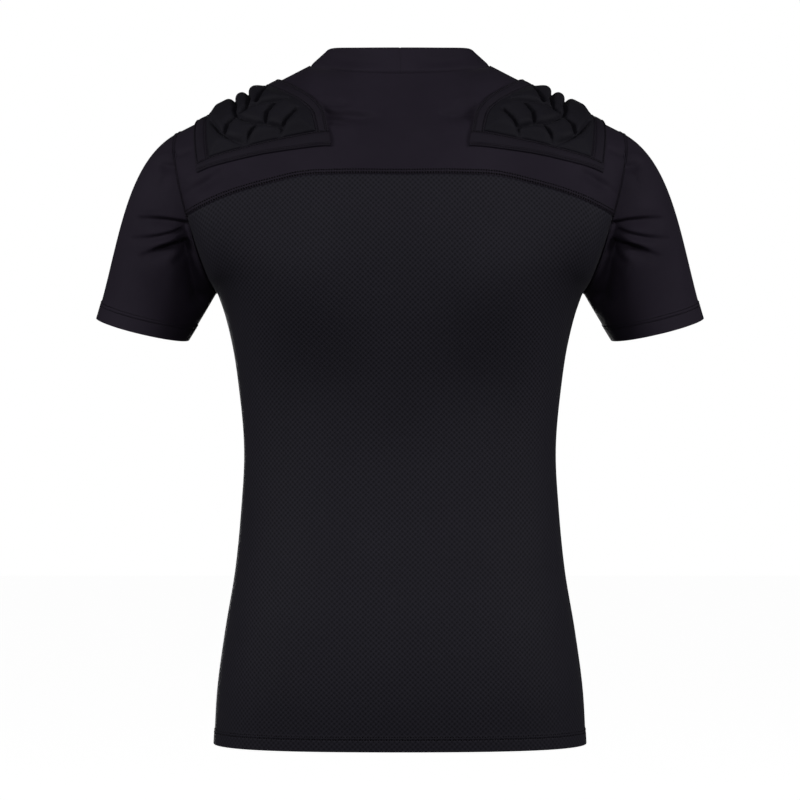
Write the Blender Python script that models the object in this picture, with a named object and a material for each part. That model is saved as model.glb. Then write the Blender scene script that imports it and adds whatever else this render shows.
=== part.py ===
"""Padded short-sleeved protective top, in its worn form and empty.

Lengths are in millimetres until a mesh is made. +Z is up, the back faces +Y and the wearer's left is +X.
The origin lies between the shoulders, on the plane of the side seams and shoulder seams.
"""
import functools
import math

import bmesh
import bpy
import numpy as np

MM = 0.001

# Walls and gaps
CLOTH_WALL = 1.6
COLLAR_WALL = 1.8
SEAM_GAP = 0.3
TUBE_SEAM_PULL = 0.35
LAY_GAP = 0.95
LARGEST_MITRE = 1.1

# Heights of the cut, from the shoulder level
HEM_HEIGHT = -643.0
ARMPIT_HEIGHT = -192.0

# Body from the hem up to the armpits, a row for each section
BODY_COLUMNS = ("height", "half_width", "back_depth", "front_depth", "back_fullness", "front_fullness")
BODY_SECTIONS = (
    (-643.0, 185.5, 101.0, 106.0, 0.30, 0.26),
    (-590.0, 182.5, 108.0, 110.0, 0.30, 0.26),
    (-530.0, 174.5, 107.0, 111.0, 0.28, 0.26),
    (-470.0, 164.5, 98.0, 110.0, 0.26, 0.25),
    (-410.0, 158.5, 88.0, 109.0, 0.24, 0.25),
    (-350.0, 155.5, 84.0, 110.0, 0.24, 0.25),
    (-290.0, 160.5, 92.0, 116.0, 0.25, 0.27),
    (-244.0, 167.5, 103.0, 123.0, 0.26, 0.30),
    (-212.0, 175.5, 111.0, 127.0, 0.28, 0.32),
    (-192.0, 182.5, 115.0, 129.0, 0.30, 0.34),
)

# Shoulder ridge, from the side of the neck to the shoulder point
NECK_HALF_WIDTH = 90.0
SHOULDER_HALF_WIDTH = 219.5
NECK_SIDE_HEIGHT = 34.0
SHOULDER_DROP_PER_MM = 0.516

# Neck opening: an oval in plan, with the seam falling from its sides to the middle of back and front
BACK_NECK_DEPTH = 50.0
FRONT_NECK_DEPTH = 80.0
BACK_NECK_HEIGHT = 22.0
FRONT_NECK_HEIGHT = -38.0
NECK_FALL_POWER = 1.3
NECK_SETTLE_POWER = 7.0

# How the upper body rolls from the armpit row over the shoulder ridge
ROLL_LENGTH = 1.1
NECK_ROLL_LENGTH = 1.3
ARMHOLE_ROLL_LENGTH = 1.6
ARMHOLE_EDGE_POWER = 5.0
ARMHOLE_LOW_SCOOP = 24.0
ARMHOLE_HIGH_SCOOP = 54.0
BACK_NECK_LEAN = (0.0, -0.84, 0.54)
FRONT_NECK_LEAN = (0.0, 0.62, 0.78)

# Yoke seam on the back, a row for each seam point
YOKE_SEAM_COLUMNS = ("from_middle", "height")
YOKE_SEAM = (
    (0.0, -78.2),
    (60.0, -78.0),
    (95.0, -79.4),
    (124.0, -85.6),
    (169.0, -98.6),
    (210.0, -117.0),
    (240.0, -132.0),
)

# Sleeve cuff: an oval ring, tipped with the arm
CUFF_MIDDLE = (255.5, -12.0, -228.0)
CUFF_HALF_WIDTH = 47.3
CUFF_HALF_DEPTH = 52.0
CUFF_ACROSS = (0.9725, 0.0, 0.2325)
CUFF_BACKWARD = (0.0, 0.9934, -0.1150)

# Way the sleeve leaves the armhole and reaches the cuff, at the shoulder and at the underarm
SLEEVE_HEAD_WAY = (0.889, 0.0, -0.459)
SLEEVE_HEAD_PULL = 0.90
UNDERARM_WAY = (0.50, 0.0, -0.86)
UNDERARM_PULL = 1.0
OUTER_CUFF_WAY = (0.30, 0.0, -0.954)
INNER_CUFF_WAY = (0.53, 0.0, -0.85)
SLEEVE_CUFF_PULL = 1.0
SLEEVE_SWELL = 0.10

# Largest folds of the sleeve, straight troughs from the armhole outwards
FOLD_COLUMNS = ("from_x", "from_z", "to_x", "to_z", "half_width", "depth")
SLEEVE_FOLDS = (
    (210.0, -124.0, 256.0, -119.0, 8.0, 3.0),
    (212.0, -138.0, 254.0, -152.0, 10.0, 4.0),
    (208.0, -158.0, 232.0, -172.0, 10.0, 3.0),
)

FOLD_FADE_POWER = 0.5
FOLD_RISE_SHARE = 0.4

# Collar top edge: depth and height at its sides, back and front
COLLAR_HALF_WIDTH = 72.0
COLLAR_SIDE = (-4.0, 51.0)
COLLAR_BACK = (38.0, 47.5)
COLLAR_FRONT = (-82.0, -15.0)
COLLAR_TOP_POWER = 1.0

# Shoulder pad and its strips, placed by x across the shoulder and by the roll over its ridge
STRIP_WIDTH = 13.0
STRIP_ROLL = 18.0
STRIP_THICKNESS = 2.0
FRAME_OUTER_X = 201.0
FRAME_INNER_COLUMNS = ("share_of_roll", "x")
FRAME_INNER = (
    (0.0, 122.0),
    (0.26, 112.5),
    (0.46, 98.5),
    (0.61, 84.7),
    (0.73, 75.2),
    (0.83, 72.2),
    (1.0, 69.0),
)
FRAME_ROLL_COLUMNS = ("x", "roll")
FRAME_ROLL = (
    (60.0, 208.0),
    (98.0, 186.0),
    (144.0, 161.0),
    (173.0, 149.5),
    (206.0, 138.0),
)
PAD_EDGE_HEIGHT = 3.5
PAD_CROWN = 5.0
PAD_CROWN_POWER = 4.0

# Grid counts
BODY_ROWS = 11
NET_UPPER_ROWS = 5
YOKE_ROWS = 8
FRONT_UPPER_ROWS = 11
NECK_COLUMNS = 10
SHOULDER_COLUMNS = 8
SLEEVE_ROWS = 10
COLLAR_ROWS = 3
PAD_COLUMNS = 10
PAD_ROWS = 20
SEAM_SEARCH_STEPS = 40
NECK_CORNER = 0.01
NECK_SPREAD = 0.75
SETTLE_SAMPLES = 401
NORMAL_STEP = 0.4
SEAM_MATCH_DECIMALS = 3
SMALLEST_LENGTH = 1e-9

# Cloth and foam colours: linear base colour, roughness
MATERIALS = {
    "jersey": ((0.0135, 0.0115, 0.0165), 0.62),
    "net": ((0.0110, 0.0105, 0.0145), 0.70),
    "pad_cover": ((0.0095, 0.0090, 0.0125), 0.66),
    "strip": ((0.0090, 0.0080, 0.0115), 0.60),
}


def smooth_curve(table, columns, name, where):
    """Cubic curve of a table's named column, read at the given places of its first column."""
    rows = np.array(table)
    column = columns.index(name)
    order = np.argsort(rows[:, 0])
    knots = rows[order, 0]
    values = rows[order, column]
    slopes = np.gradient(values, knots)
    where = np.clip(where, knots[0], knots[-1])
    low = np.clip(np.searchsorted(knots, where) - 1, 0, len(knots) - 2)
    span = knots[low + 1] - knots[low]
    share = (where - knots[low]) / span
    return hermite(values[low], slopes[low] * span, values[low + 1], slopes[low + 1] * span, share)


def hermite(start, start_pull, end, end_pull, share):
    """Cubic from start to end with the given end tangents."""
    square = share * share
    cube = square * share
    return (
        (2.0 * cube - 3.0 * square + 1.0) * start
        + (cube - 2.0 * square + share) * start_pull
        + (3.0 * square - 2.0 * cube) * end
        + (cube - square) * end_pull
    )


def unit(vectors):
    """Vectors at length 1."""
    return vectors / np.maximum(np.linalg.norm(vectors, axis=-1, keepdims=True), SMALLEST_LENGTH)


def points(x, y, z):
    """Stack three broadcast coordinates into points."""
    return np.stack(np.broadcast_arrays(x, y, z), axis=-1)


def body_row(side, angle, height):
    """Point of the body below the armpits; side is 1 for the back and -1 for the front."""
    name = "back" if side > 0 else "front"
    half_width = smooth_curve(BODY_SECTIONS, BODY_COLUMNS, "half_width", height)
    depth = smooth_curve(BODY_SECTIONS, BODY_COLUMNS, name + "_depth", height)
    fullness = smooth_curve(BODY_SECTIONS, BODY_COLUMNS, name + "_fullness", height)
    around = np.cos(angle) * (1.0 + fullness * np.sin(angle) ** 2)
    return points(half_width * np.sin(angle), side * depth * around, height)


def ridge_height(x):
    """Height of the shoulder ridge: a straight slope each side, rounded over between the neck's sides."""
    x = np.abs(x)
    slope = NECK_SIDE_HEIGHT - SHOULDER_DROP_PER_MM * (x - NECK_HALF_WIDTH)
    cap = 0.5 * SHOULDER_DROP_PER_MM * NECK_HALF_WIDTH
    rounded = NECK_SIDE_HEIGHT + cap * (1.0 - (x / NECK_HALF_WIDTH) ** 2)
    return np.where(x < NECK_HALF_WIDTH, rounded, slope)


def ridge(angle):
    """Point of the shoulder ridge, carried on over the neck opening."""
    x = SHOULDER_HALF_WIDTH * np.sin(angle)
    return points(x, 0.0 * x, ridge_height(x))


def rolled_body(side, angle, share):
    """Point between the armpit row (share 0) and the shoulder ridge (share 1), before the neck settles."""
    angle, share = np.broadcast_arrays(angle, share)
    start = body_row(side, angle, np.full(angle.shape, ARMPIT_HEIGHT))
    below = body_row(side, angle, np.full(angle.shape, ARMPIT_HEIGHT - 1.0))
    end = ridge(angle)
    edge = (np.abs(np.sin(angle)) ** ARMHOLE_EDGE_POWER)[..., None]
    neck_share = np.clip(np.abs(np.sin(angle)) * SHOULDER_HALF_WIDTH / NECK_HALF_WIDTH, 0.0, 1.0) ** 2
    neck_share = (neck_share ** 2 * (3.0 - 2.0 * neck_share))[..., None]
    stretch = NECK_ROLL_LENGTH + (ROLL_LENGTH - NECK_ROLL_LENGTH) * neck_share
    stretch = stretch + (ARMHOLE_ROLL_LENGTH - ROLL_LENGTH) * edge
    length = stretch * np.linalg.norm(end - start, axis=-1, keepdims=True)
    scoop = points(np.sign(angle), 0.0 * angle, 0.0 * angle) * edge
    outward = np.array((0.0, float(side), 0.0))
    lean = np.array(BACK_NECK_LEAN if side > 0 else FRONT_NECK_LEAN)
    start_way = unit(unit(start - below) * (1.0 - edge) + outward * edge)
    end_way = unit(lean * (1.0 - neck_share) - outward * neck_share)
    leave = start_way * length + ARMHOLE_LOW_SCOOP * scoop
    arrive = end_way * length - ARMHOLE_HIGH_SCOOP * scoop
    return hermite(start, leave, end, arrive, share[..., None])


def share_where(surface, side, angle, is_below):
    """Share of an upper surface at which a test on its points stops being true, for each angle."""
    low = np.zeros(np.shape(angle))
    high = np.ones(np.shape(angle))
    for _ in range(SEAM_SEARCH_STEPS):
        middle = 0.5 * (low + high)
        below = is_below(surface(side, angle, middle))
        low = np.where(below, middle, low)
        high = np.where(below, high, middle)
    return 0.5 * (low + high)


def top_share(side, angle):
    """Share at which the body ends: at the neck opening in the middle, at the ridge beside it."""
    depth = BACK_NECK_DEPTH if side > 0 else FRONT_NECK_DEPTH

    def outside_neck(place):
        return (place[..., 0] / NECK_HALF_WIDTH) ** 2 + (place[..., 1] / depth) ** 2 > 1.0

    beside = np.abs(np.sin(angle)) * SHOULDER_HALF_WIDTH > NECK_HALF_WIDTH - NECK_CORNER
    return np.where(beside, 1.0, share_where(rolled_body, side, angle, outside_neck))


@functools.lru_cache
def neck_settle_table(side):
    """Angles across the body, the share of the top there, and how far the cloth settles at the neck seam."""
    corner = math.asin(NECK_HALF_WIDTH / SHOULDER_HALF_WIDTH)
    inside = np.linspace(-corner, corner, SETTLE_SAMPLES)
    angle = np.concatenate(((-0.5 * math.pi,), inside, (0.5 * math.pi,)))
    share = top_share(side, angle)
    place = rolled_body(side, angle, share)
    height = BACK_NECK_HEIGHT if side > 0 else FRONT_NECK_HEIGHT
    turn = np.arcsin(np.clip(place[..., 0] / NECK_HALF_WIDTH, -1.0, 1.0))
    seam = NECK_SIDE_HEIGHT + (height - NECK_SIDE_HEIGHT) * np.cos(turn) ** NECK_FALL_POWER
    settle = np.where(share < 1.0, seam - place[..., 2], 0.0)
    return angle, share, settle


def upper_body(side, angle, share):
    """Point of the upper body, with the cloth round the neck settled to the height of its seam."""
    angle, share = np.broadcast_arrays(angle, share)
    angles, top, settle = neck_settle_table(side)
    reached = np.minimum(share / np.interp(angle, angles, top), 1.0) ** NECK_SETTLE_POWER
    place = rolled_body(side, angle, share)
    place[..., 2] += reached * np.interp(angle, angles, settle)
    return place


def yoke_share(angle):
    """Share at which the yoke seam crosses the back."""

    def under_seam(place):
        return place[..., 2] < smooth_curve(YOKE_SEAM, YOKE_SEAM_COLUMNS, "height", np.abs(place[..., 0]))

    return share_where(upper_body, 1, angle, under_seam)


def neck_turns():
    """Turns round half the neck opening, less crowded at its sides than an even division."""
    turns = NECK_SPREAD * np.linspace(-0.5 * math.pi, 0.5 * math.pi, NECK_COLUMNS + 1)
    return np.arcsin(np.clip(np.sin(turns) / math.sin(0.5 * NECK_SPREAD * math.pi), -1.0, 1.0))


def across_angles():
    """Angles across the body, with a column at each side of the neck."""
    neck_share = NECK_HALF_WIDTH / SHOULDER_HALF_WIDTH
    neck = np.arcsin(neck_share * np.sin(neck_turns()))
    shoulder = np.linspace(math.asin(neck_share), 0.5 * math.pi, SHOULDER_COLUMNS + 1)[1:]
    return np.concatenate((-shoulder[::-1], neck, shoulder))


def torso_grids():
    """Outer surfaces of the net back, the yoke and the front."""
    angle = across_angles()[None, :]
    heights = np.linspace(HEM_HEIGHT, ARMPIT_HEIGHT, BODY_ROWS + 1)[:, None]
    seam = yoke_share(angle)
    net_shares = np.linspace(0.0, 1.0, NET_UPPER_ROWS + 1)[1:, None] * seam
    yoke_shares = seam + np.linspace(0.0, 1.0, YOKE_ROWS + 1)[:, None] * (top_share(1, angle) - seam)
    front_shares = np.linspace(0.0, 1.0, FRONT_UPPER_ROWS + 1)[1:, None] * top_share(-1, angle)
    net = np.concatenate((body_row(1, angle, heights), upper_body(1, angle, net_shares)))
    yoke = upper_body(1, angle, yoke_shares)
    front = np.concatenate((body_row(-1, angle, heights), upper_body(-1, angle, front_shares)))
    return net, yoke, front


def armhole_loop(net, yoke, front):
    """Left armhole points: from the armpit up the back, over the shoulder and down the front."""
    back = np.concatenate((net[BODY_ROWS:, -1], yoke[1:, -1]))
    fore = front[BODY_ROWS + 1:-1, -1][::-1]
    return np.concatenate((back, fore)), len(back)


def loop_turns(loop, back_count):
    """Angles round the cuff for the armhole points: 0 at the underarm, half a turn at the shoulder."""
    around = np.concatenate((loop, loop[:1]))
    steps = np.linalg.norm(np.diff(around, axis=0), axis=1)
    reach = np.concatenate(((0.0,), np.cumsum(steps)))
    top = reach[back_count - 1]
    total = reach[-1]
    reach = reach[:-1]
    return np.where(reach <= top, math.pi * reach / top, math.pi + math.pi * (reach - top) / (total - top))


def fold_depth(place):
    """Depth of the sleeve's folds at outer points of the left sleeve."""
    depth = np.zeros(place.shape[:-1])
    flat = place[..., (0, 2)]
    for row in SLEEVE_FOLDS:
        fold = dict(zip(FOLD_COLUMNS, row))
        start = np.array((fold["from_x"], fold["from_z"]))
        run = np.array((fold["to_x"], fold["to_z"])) - start
        along = np.clip(((flat - start) @ run) / (run @ run), 0.0, 1.0)
        apart = np.linalg.norm(flat - start - along[..., None] * run, axis=-1)
        fade = (1.0 - along) ** FOLD_FADE_POWER
        depth = depth + fold["depth"] * fade * np.exp(-((apart / fold["half_width"]) ** 2))
    return depth


def sleeve_grid(loop, back_count):
    """Outer surface of the left sleeve, a row for each ring from the armhole to the cuff."""
    turns = loop_turns(loop, back_count)
    high = 0.5 - 0.5 * np.cos(turns)
    across = np.array(CUFF_ACROSS)
    backward = np.array(CUFF_BACKWARD)
    cuff = (
        np.array(CUFF_MIDDLE)
        - CUFF_HALF_WIDTH * np.cos(turns)[:, None] * across
        + CUFF_HALF_DEPTH * np.sin(turns)[:, None] * backward
    )
    chord = np.linalg.norm(cuff - loop, axis=1)[:, None]
    high = high[:, None]
    swell = points(0.0 * turns, SLEEVE_SWELL * np.sin(turns), 0.0 * turns)
    leave = unit(np.array(UNDERARM_WAY) * (1.0 - high) + np.array(SLEEVE_HEAD_WAY) * high + swell)
    leave = leave * chord * (UNDERARM_PULL * (1.0 - high) + SLEEVE_HEAD_PULL * high)
    arrive = unit(np.array(INNER_CUFF_WAY) * (1.0 - high) + np.array(OUTER_CUFF_WAY) * high)
    arrive = arrive * chord * SLEEVE_CUFF_PULL
    shares = np.linspace(0.0, 1.0, SLEEVE_ROWS + 1)[:, None, None]
    grid = hermite(loop, leave, cuff, arrive, shares)
    outward = grid_normals(np.concatenate((grid, grid[:, :1]), axis=1))[:, :-1]
    sunk = fold_depth(grid)[..., None] * np.minimum(shares / FOLD_RISE_SHARE, 1.0)
    return grid - outward * sunk


def collar_grid(yoke, front):
    """Outer surface of the collar ring, from the neck seam to its top edge."""
    neck = slice(SHOULDER_COLUMNS, SHOULDER_COLUMNS + NECK_COLUMNS + 1)
    seam = np.concatenate((yoke[-1, neck][:-1], front[-1, neck][::-1][:-1]))
    turns = neck_turns()
    top = np.concatenate((collar_top(1, turns)[:-1], collar_top(-1, -turns)[:-1]))
    shares = np.linspace(0.0, 1.0, COLLAR_ROWS + 1)[:, None, None]
    return seam * (1.0 - shares) + top * shares


def collar_top(side, turn):
    """Top edge of the collar."""
    depth, height = COLLAR_BACK if side > 0 else COLLAR_FRONT
    round_share = np.maximum(np.cos(turn), 0.0)
    return points(
        COLLAR_HALF_WIDTH * np.sin(turn),
        COLLAR_SIDE[0] + (depth - COLLAR_SIDE[0]) * round_share,
        COLLAR_SIDE[1] + (height - COLLAR_SIDE[1]) * round_share ** COLLAR_TOP_POWER,
    )


def grid_normals(grid):
    """Normals of a grid's points, along the cross product of columns and rows."""
    along_columns = np.gradient(grid, axis=1)
    along_rows = np.gradient(grid, axis=0)
    return unit(np.cross(along_columns, along_rows))


def face_normals_at_points(grid, closed_round):
    """Area-weighted sum of face normals at each point of a grid."""
    wide = np.concatenate((grid, grid[:, :1]), axis=1) if closed_round else grid
    corner, right = wide[:-1, :-1], wide[:-1, 1:]
    above, far = wide[1:, :-1], wide[1:, 1:]
    faces = np.cross(far - corner, above - right)
    total = np.zeros_like(wide)
    total[:-1, :-1] += faces
    total[:-1, 1:] += faces
    total[1:, :-1] += faces
    total[1:, 1:] += faces
    if closed_round:
        total[:, 0] += total[:, -1]
        total = total[:, :-1]
    return total


def shared_normals(panels):
    """Outward offsets of all panels for a wall of 1 mm, shared where panels meet at a seam."""
    sums = {}
    for name, panel in panels.items():
        sums[name] = panel["facing"] * face_normals_at_points(panel["grid"], panel["closed_round"])
    every_point = np.concatenate([panel["grid"].reshape(-1, 3) for panel in panels.values()])
    every_sum = np.concatenate([sums[name].reshape(-1, 3) for name in panels])
    _, same = np.unique(np.round(every_point, SEAM_MATCH_DECIMALS), axis=0, return_inverse=True)
    same = same.ravel()
    joined = np.zeros((same.max() + 1, 3))
    np.add.at(joined, same, unit(every_sum))
    joined = unit(joined)
    lean = np.ones(len(joined))
    np.minimum.at(lean, same, np.sum(joined[same] * unit(every_sum), axis=-1))
    offset = (joined / np.maximum(lean, 1.0 / LARGEST_MITRE)[:, None])[same]
    normals = {}
    used = 0
    for name, panel in panels.items():
        size = panel["grid"].shape[0] * panel["grid"].shape[1]
        normals[name] = offset[used:used + size].reshape(panel["grid"].shape)
        used += size
    return normals


def edge_pull(edge, normal, beside, closed_round):
    """Unit moves square to an edge, in its surface, towards the points beside it."""
    if closed_round:
        ways = np.roll(edge, -1, axis=0) - np.roll(edge, 1, axis=0)
    else:
        ways = np.gradient(edge, axis=0)
    square = unit(np.cross(normal, ways))
    return square * np.sign(np.sum(square * (beside - edge)))


def seam_pull(panel, half):
    """Moves that bring the seam edges of a panel half a seam gap into it."""
    grid = panel["grid"]
    around = panel["closed_round"]
    normal = unit(face_normals_at_points(grid, around))
    move = np.zeros_like(grid)
    if "low" in panel["edges"]:
        move[0] += edge_pull(grid[0], normal[0], grid[1], around)
    if "high" in panel["edges"]:
        move[-1] += edge_pull(grid[-1], normal[-1], grid[-2], around)
    if "sides" in panel["edges"]:
        move[:, 0] += edge_pull(grid[:, 0], normal[:, 0], grid[:, 1], False)
        move[:, -1] += edge_pull(grid[:, -1], normal[:, -1], grid[:, -2], False)
    return half * move


def wall_mesh(name, outer, inner, closed_round, material):
    """Closed wall between an outer and an inner grid, as a named object."""
    rows, columns = outer.shape[:2]
    mesh = bmesh.new()
    layers = []
    for grid in (outer, inner):
        layers.append([[mesh.verts.new(place * MM) for place in row] for row in grid])
    last = columns if closed_round else columns - 1
    for layer in layers:
        for row in range(rows - 1):
            for column in range(last):
                beside = (column + 1) % columns
                mesh.faces.new((
                    layer[row][column], layer[row][beside], layer[row + 1][beside], layer[row + 1][column],
                ))
    for row in (0, rows - 1):
        for column in range(last):
            beside = (column + 1) % columns
            mesh.faces.new((
                layers[0][row][column], layers[0][row][beside],
                layers[1][row][beside], layers[1][row][column],
            ))
    if not closed_round:
        for column in (0, columns - 1):
            for row in range(rows - 1):
                mesh.faces.new((
                    layers[0][row][column], layers[0][row + 1][column],
                    layers[1][row + 1][column], layers[1][row][column],
                ))
    bmesh.ops.triangulate(mesh, faces=mesh.faces[:])
    bmesh.ops.recalc_face_normals(mesh, faces=mesh.faces[:])
    data = bpy.data.meshes.new(name)
    mesh.to_mesh(data)
    mesh.free()
    data.shade_smooth()
    data.materials.append(material)
    piece = bpy.data.objects.new(name, data)
    bpy.context.scene.collection.objects.link(piece)
    return piece


def make_material(name):
    """Plain Principled material from the table of finishes."""
    colour, roughness = MATERIALS[name]
    material = bpy.data.materials.new(name)
    material.use_nodes = True
    shader = material.node_tree.nodes["Principled BSDF"]
    shader.inputs["Base Color"].default_value = (*colour, 1.0)
    shader.inputs["Roughness"].default_value = roughness
    shader.inputs["Metallic"].default_value = 0.0
    return material


def shoulder_cloth(x, roll):
    """Cloth point at a place across the left shoulder and a roll over its ridge, positive to the back.

    The roll is how far a point lies behind the ridge plus how far it lies below the ridge.
    """
    x, roll = np.broadcast_arrays(np.asarray(x, float), np.asarray(roll, float))
    angle = np.arcsin(np.clip(x / SHOULDER_HALF_WIDTH, -1.0, 1.0))
    found = {}
    for side in (1, -1):

        def rolled_further(place):
            return side * (place[..., 1] - roll) + ridge_height(place[..., 0]) - place[..., 2] > 0.0

        found[side] = upper_body(side, angle, share_where(upper_body, side, angle, rolled_further))
    return np.where((roll >= 0.0)[..., None], found[1], found[-1])


def shoulder_normal(x, roll):
    """Outward normal of the cloth over the left shoulder."""
    across = shoulder_cloth(x + NORMAL_STEP, roll) - shoulder_cloth(x - NORMAL_STEP, roll)
    over = shoulder_cloth(x, roll - NORMAL_STEP) - shoulder_cloth(x, roll + NORMAL_STEP)
    return unit(np.cross(over, across))


def frame_roll(x):
    """Roll of the pad frame's lower edge."""
    return smooth_curve(FRAME_ROLL, FRAME_ROLL_COLUMNS, "roll", x)


def frame_inner_x(share):
    """Inner edge of the pad frame at a signed share of its roll."""
    return smooth_curve(FRAME_INNER, FRAME_INNER_COLUMNS, "x", np.abs(share))


def shoulder_slab(across, over, low, height):
    """Outer and inner grids of a slab on the shoulder; low and height are above the cloth."""
    cloth = shoulder_cloth(across, over)
    normal = shoulder_normal(across, over)
    return cloth + normal * (low + height)[..., None], cloth + normal * low[..., None]


def pad_places(inner, outer, low_share, high_share, columns, rows):
    """Places across and over the shoulder, between two offsets of the frame's edges."""
    share = np.linspace(low_share, high_share, rows + 1)[:, None]
    step = np.linspace(0.0, 1.0, columns + 1)[None, :]
    start = frame_inner_x(share) + inner
    across = start + (FRAME_OUTER_X - outer - start) * step
    return across, share * frame_roll(across)


def pad_slabs():
    """Slabs of the left pad and of its four strips, keyed by name."""
    middle_roll = frame_roll(0.5 * (FRAME_OUTER_X + NECK_HALF_WIDTH))
    strip_share = STRIP_ROLL / middle_roll
    gap_share = SEAM_GAP * STRIP_ROLL / STRIP_WIDTH / middle_roll
    inside = 1.0 - strip_share - gap_share
    clear = STRIP_WIDTH + SEAM_GAP
    slabs = {}

    across, over = pad_places(clear, clear, inside, -inside, PAD_COLUMNS, PAD_ROWS)
    side_share = np.abs(np.linspace(-1.0, 1.0, PAD_COLUMNS + 1))[None, :]
    over_share = np.abs(np.linspace(-1.0, 1.0, PAD_ROWS + 1))[:, None]
    crown = (1.0 - side_share ** PAD_CROWN_POWER) * (1.0 - over_share ** PAD_CROWN_POWER)
    slabs["shoulder_pad"] = (across, over, PAD_EDGE_HEIGHT + PAD_CROWN * crown)

    across, over = pad_places(0.0, 0.0, 1.0, 1.0 - strip_share, PAD_COLUMNS, 1)
    slabs["pad_strip_back"] = (across, over, np.full(across.shape, STRIP_THICKNESS))
    slabs["pad_strip_front"] = (across, -over, np.full(across.shape, STRIP_THICKNESS))

    share = np.linspace(inside, -inside, PAD_ROWS + 1)[:, None]
    step = np.linspace(0.0, STRIP_WIDTH, 2)[None, :]
    across = frame_inner_x(share) + step
    slabs["pad_strip_inner"] = (across, share * frame_roll(across), np.full(across.shape, STRIP_THICKNESS))
    across = FRAME_OUTER_X - STRIP_WIDTH + step + 0.0 * share
    slabs["pad_strip_outer"] = (across, share * frame_roll(across), np.full(across.shape, STRIP_THICKNESS))
    return slabs


def mirrored(grid):
    """The same grid on the wearer's right."""
    return grid * np.array((-1.0, 1.0, 1.0))


def clear_scene():
    """Remove every object of the scene."""
    for piece in list(bpy.data.objects):
        bpy.data.objects.remove(piece, do_unlink=True)


def build_cloth(materials):
    """Panels, sleeves and collar."""
    net, yoke, front = torso_grids()
    loop, back_count = armhole_loop(net, yoke, front)
    sleeve = sleeve_grid(loop, back_count)
    panels = {
        "back_panel": {"grid": net, "facing": -1.0, "edges": ("high", "sides"), "finish": "net"},
        "back_yoke": {"grid": yoke, "facing": -1.0, "edges": ("low", "high", "sides"), "finish": "jersey"},
        "front_panel": {"grid": front, "facing": 1.0, "edges": ("high", "sides"), "finish": "jersey"},
        "sleeve_L": {"grid": sleeve, "facing": 1.0, "edges": ("low",), "finish": "jersey"},
        "sleeve_R": {"grid": mirrored(sleeve), "facing": -1.0, "edges": ("low",), "finish": "jersey"},
        "collar": {"grid": collar_grid(yoke, front), "facing": -1.0, "edges": ("low",), "finish": "jersey"},
    }
    for name, panel in panels.items():
        panel["closed_round"] = name in ("sleeve_L", "sleeve_R", "collar")
    normals = shared_normals(panels)
    for name, panel in panels.items():
        wall = COLLAR_WALL if name == "collar" else CLOTH_WALL
        half = TUBE_SEAM_PULL if panel["closed_round"] else 0.5 * SEAM_GAP
        outer = panel["grid"] + seam_pull(panel, half)
        inner = outer - wall * normals[name]
        wall_mesh(name, outer, inner, panel["closed_round"], materials[panel["finish"]])


def build_pads(materials):
    """Pads and strips on both shoulders."""
    for name, (across, over, height) in pad_slabs().items():
        top, bottom = shoulder_slab(across, over, np.full(across.shape, LAY_GAP), height)
        material = materials["pad_cover" if name == "shoulder_pad" else "strip"]
        wall_mesh(name + "_L", top, bottom, False, material)
        wall_mesh(name + "_R", mirrored(top), mirrored(bottom), False, material)


def main():
    clear_scene()
    materials = {name: make_material(name) for name in MATERIALS}
    build_cloth(materials)
    build_pads(materials)


main()
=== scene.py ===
# %% [markdown]
# A padded short-sleeved top, seen from behind.
# The real top is sewn from near-black stretch jersey, with a net lower back, a low stand collar and a foam
# pad framed by sewn strips on each shoulder. It is filled out as worn, with no wearer. The solids already
# have its true form, so the cells below repeat that form more finely and add what shows up close: seams,
# creases, foam blocks, stitches and the cloth itself.

# %% Load the solids as a fixed frame
import functools
import math

import bmesh
import bpy
import numpy as np
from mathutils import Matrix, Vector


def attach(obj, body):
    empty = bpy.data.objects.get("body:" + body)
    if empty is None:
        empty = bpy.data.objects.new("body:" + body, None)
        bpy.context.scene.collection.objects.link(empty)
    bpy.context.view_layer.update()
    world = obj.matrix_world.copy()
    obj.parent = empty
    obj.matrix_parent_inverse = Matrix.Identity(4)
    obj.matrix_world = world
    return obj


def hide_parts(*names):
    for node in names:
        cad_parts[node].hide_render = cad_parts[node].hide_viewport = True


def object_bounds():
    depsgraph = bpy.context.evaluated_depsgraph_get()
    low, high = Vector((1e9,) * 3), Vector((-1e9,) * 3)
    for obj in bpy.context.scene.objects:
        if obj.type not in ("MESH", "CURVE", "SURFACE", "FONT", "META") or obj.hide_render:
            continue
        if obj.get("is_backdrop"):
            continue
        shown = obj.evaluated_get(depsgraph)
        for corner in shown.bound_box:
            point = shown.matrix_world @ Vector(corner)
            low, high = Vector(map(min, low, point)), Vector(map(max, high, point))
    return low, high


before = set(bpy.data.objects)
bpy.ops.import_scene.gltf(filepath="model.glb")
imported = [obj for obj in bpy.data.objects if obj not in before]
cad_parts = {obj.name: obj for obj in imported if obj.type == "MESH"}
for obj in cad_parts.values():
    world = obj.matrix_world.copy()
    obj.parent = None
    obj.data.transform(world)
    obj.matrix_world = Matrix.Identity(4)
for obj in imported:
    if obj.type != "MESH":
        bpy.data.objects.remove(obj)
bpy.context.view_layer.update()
bpy.ops.object.select_all(action="DESELECT")
MM = 0.001
print("solids:", ", ".join(sorted(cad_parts)))

# %% [markdown]
# The camera stands behind the top, level with the middle of its back, and far enough away that the sleeves
# and the hem keep nearly one scale. A long lens does that in a picture too, so a long lens is used here.

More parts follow.
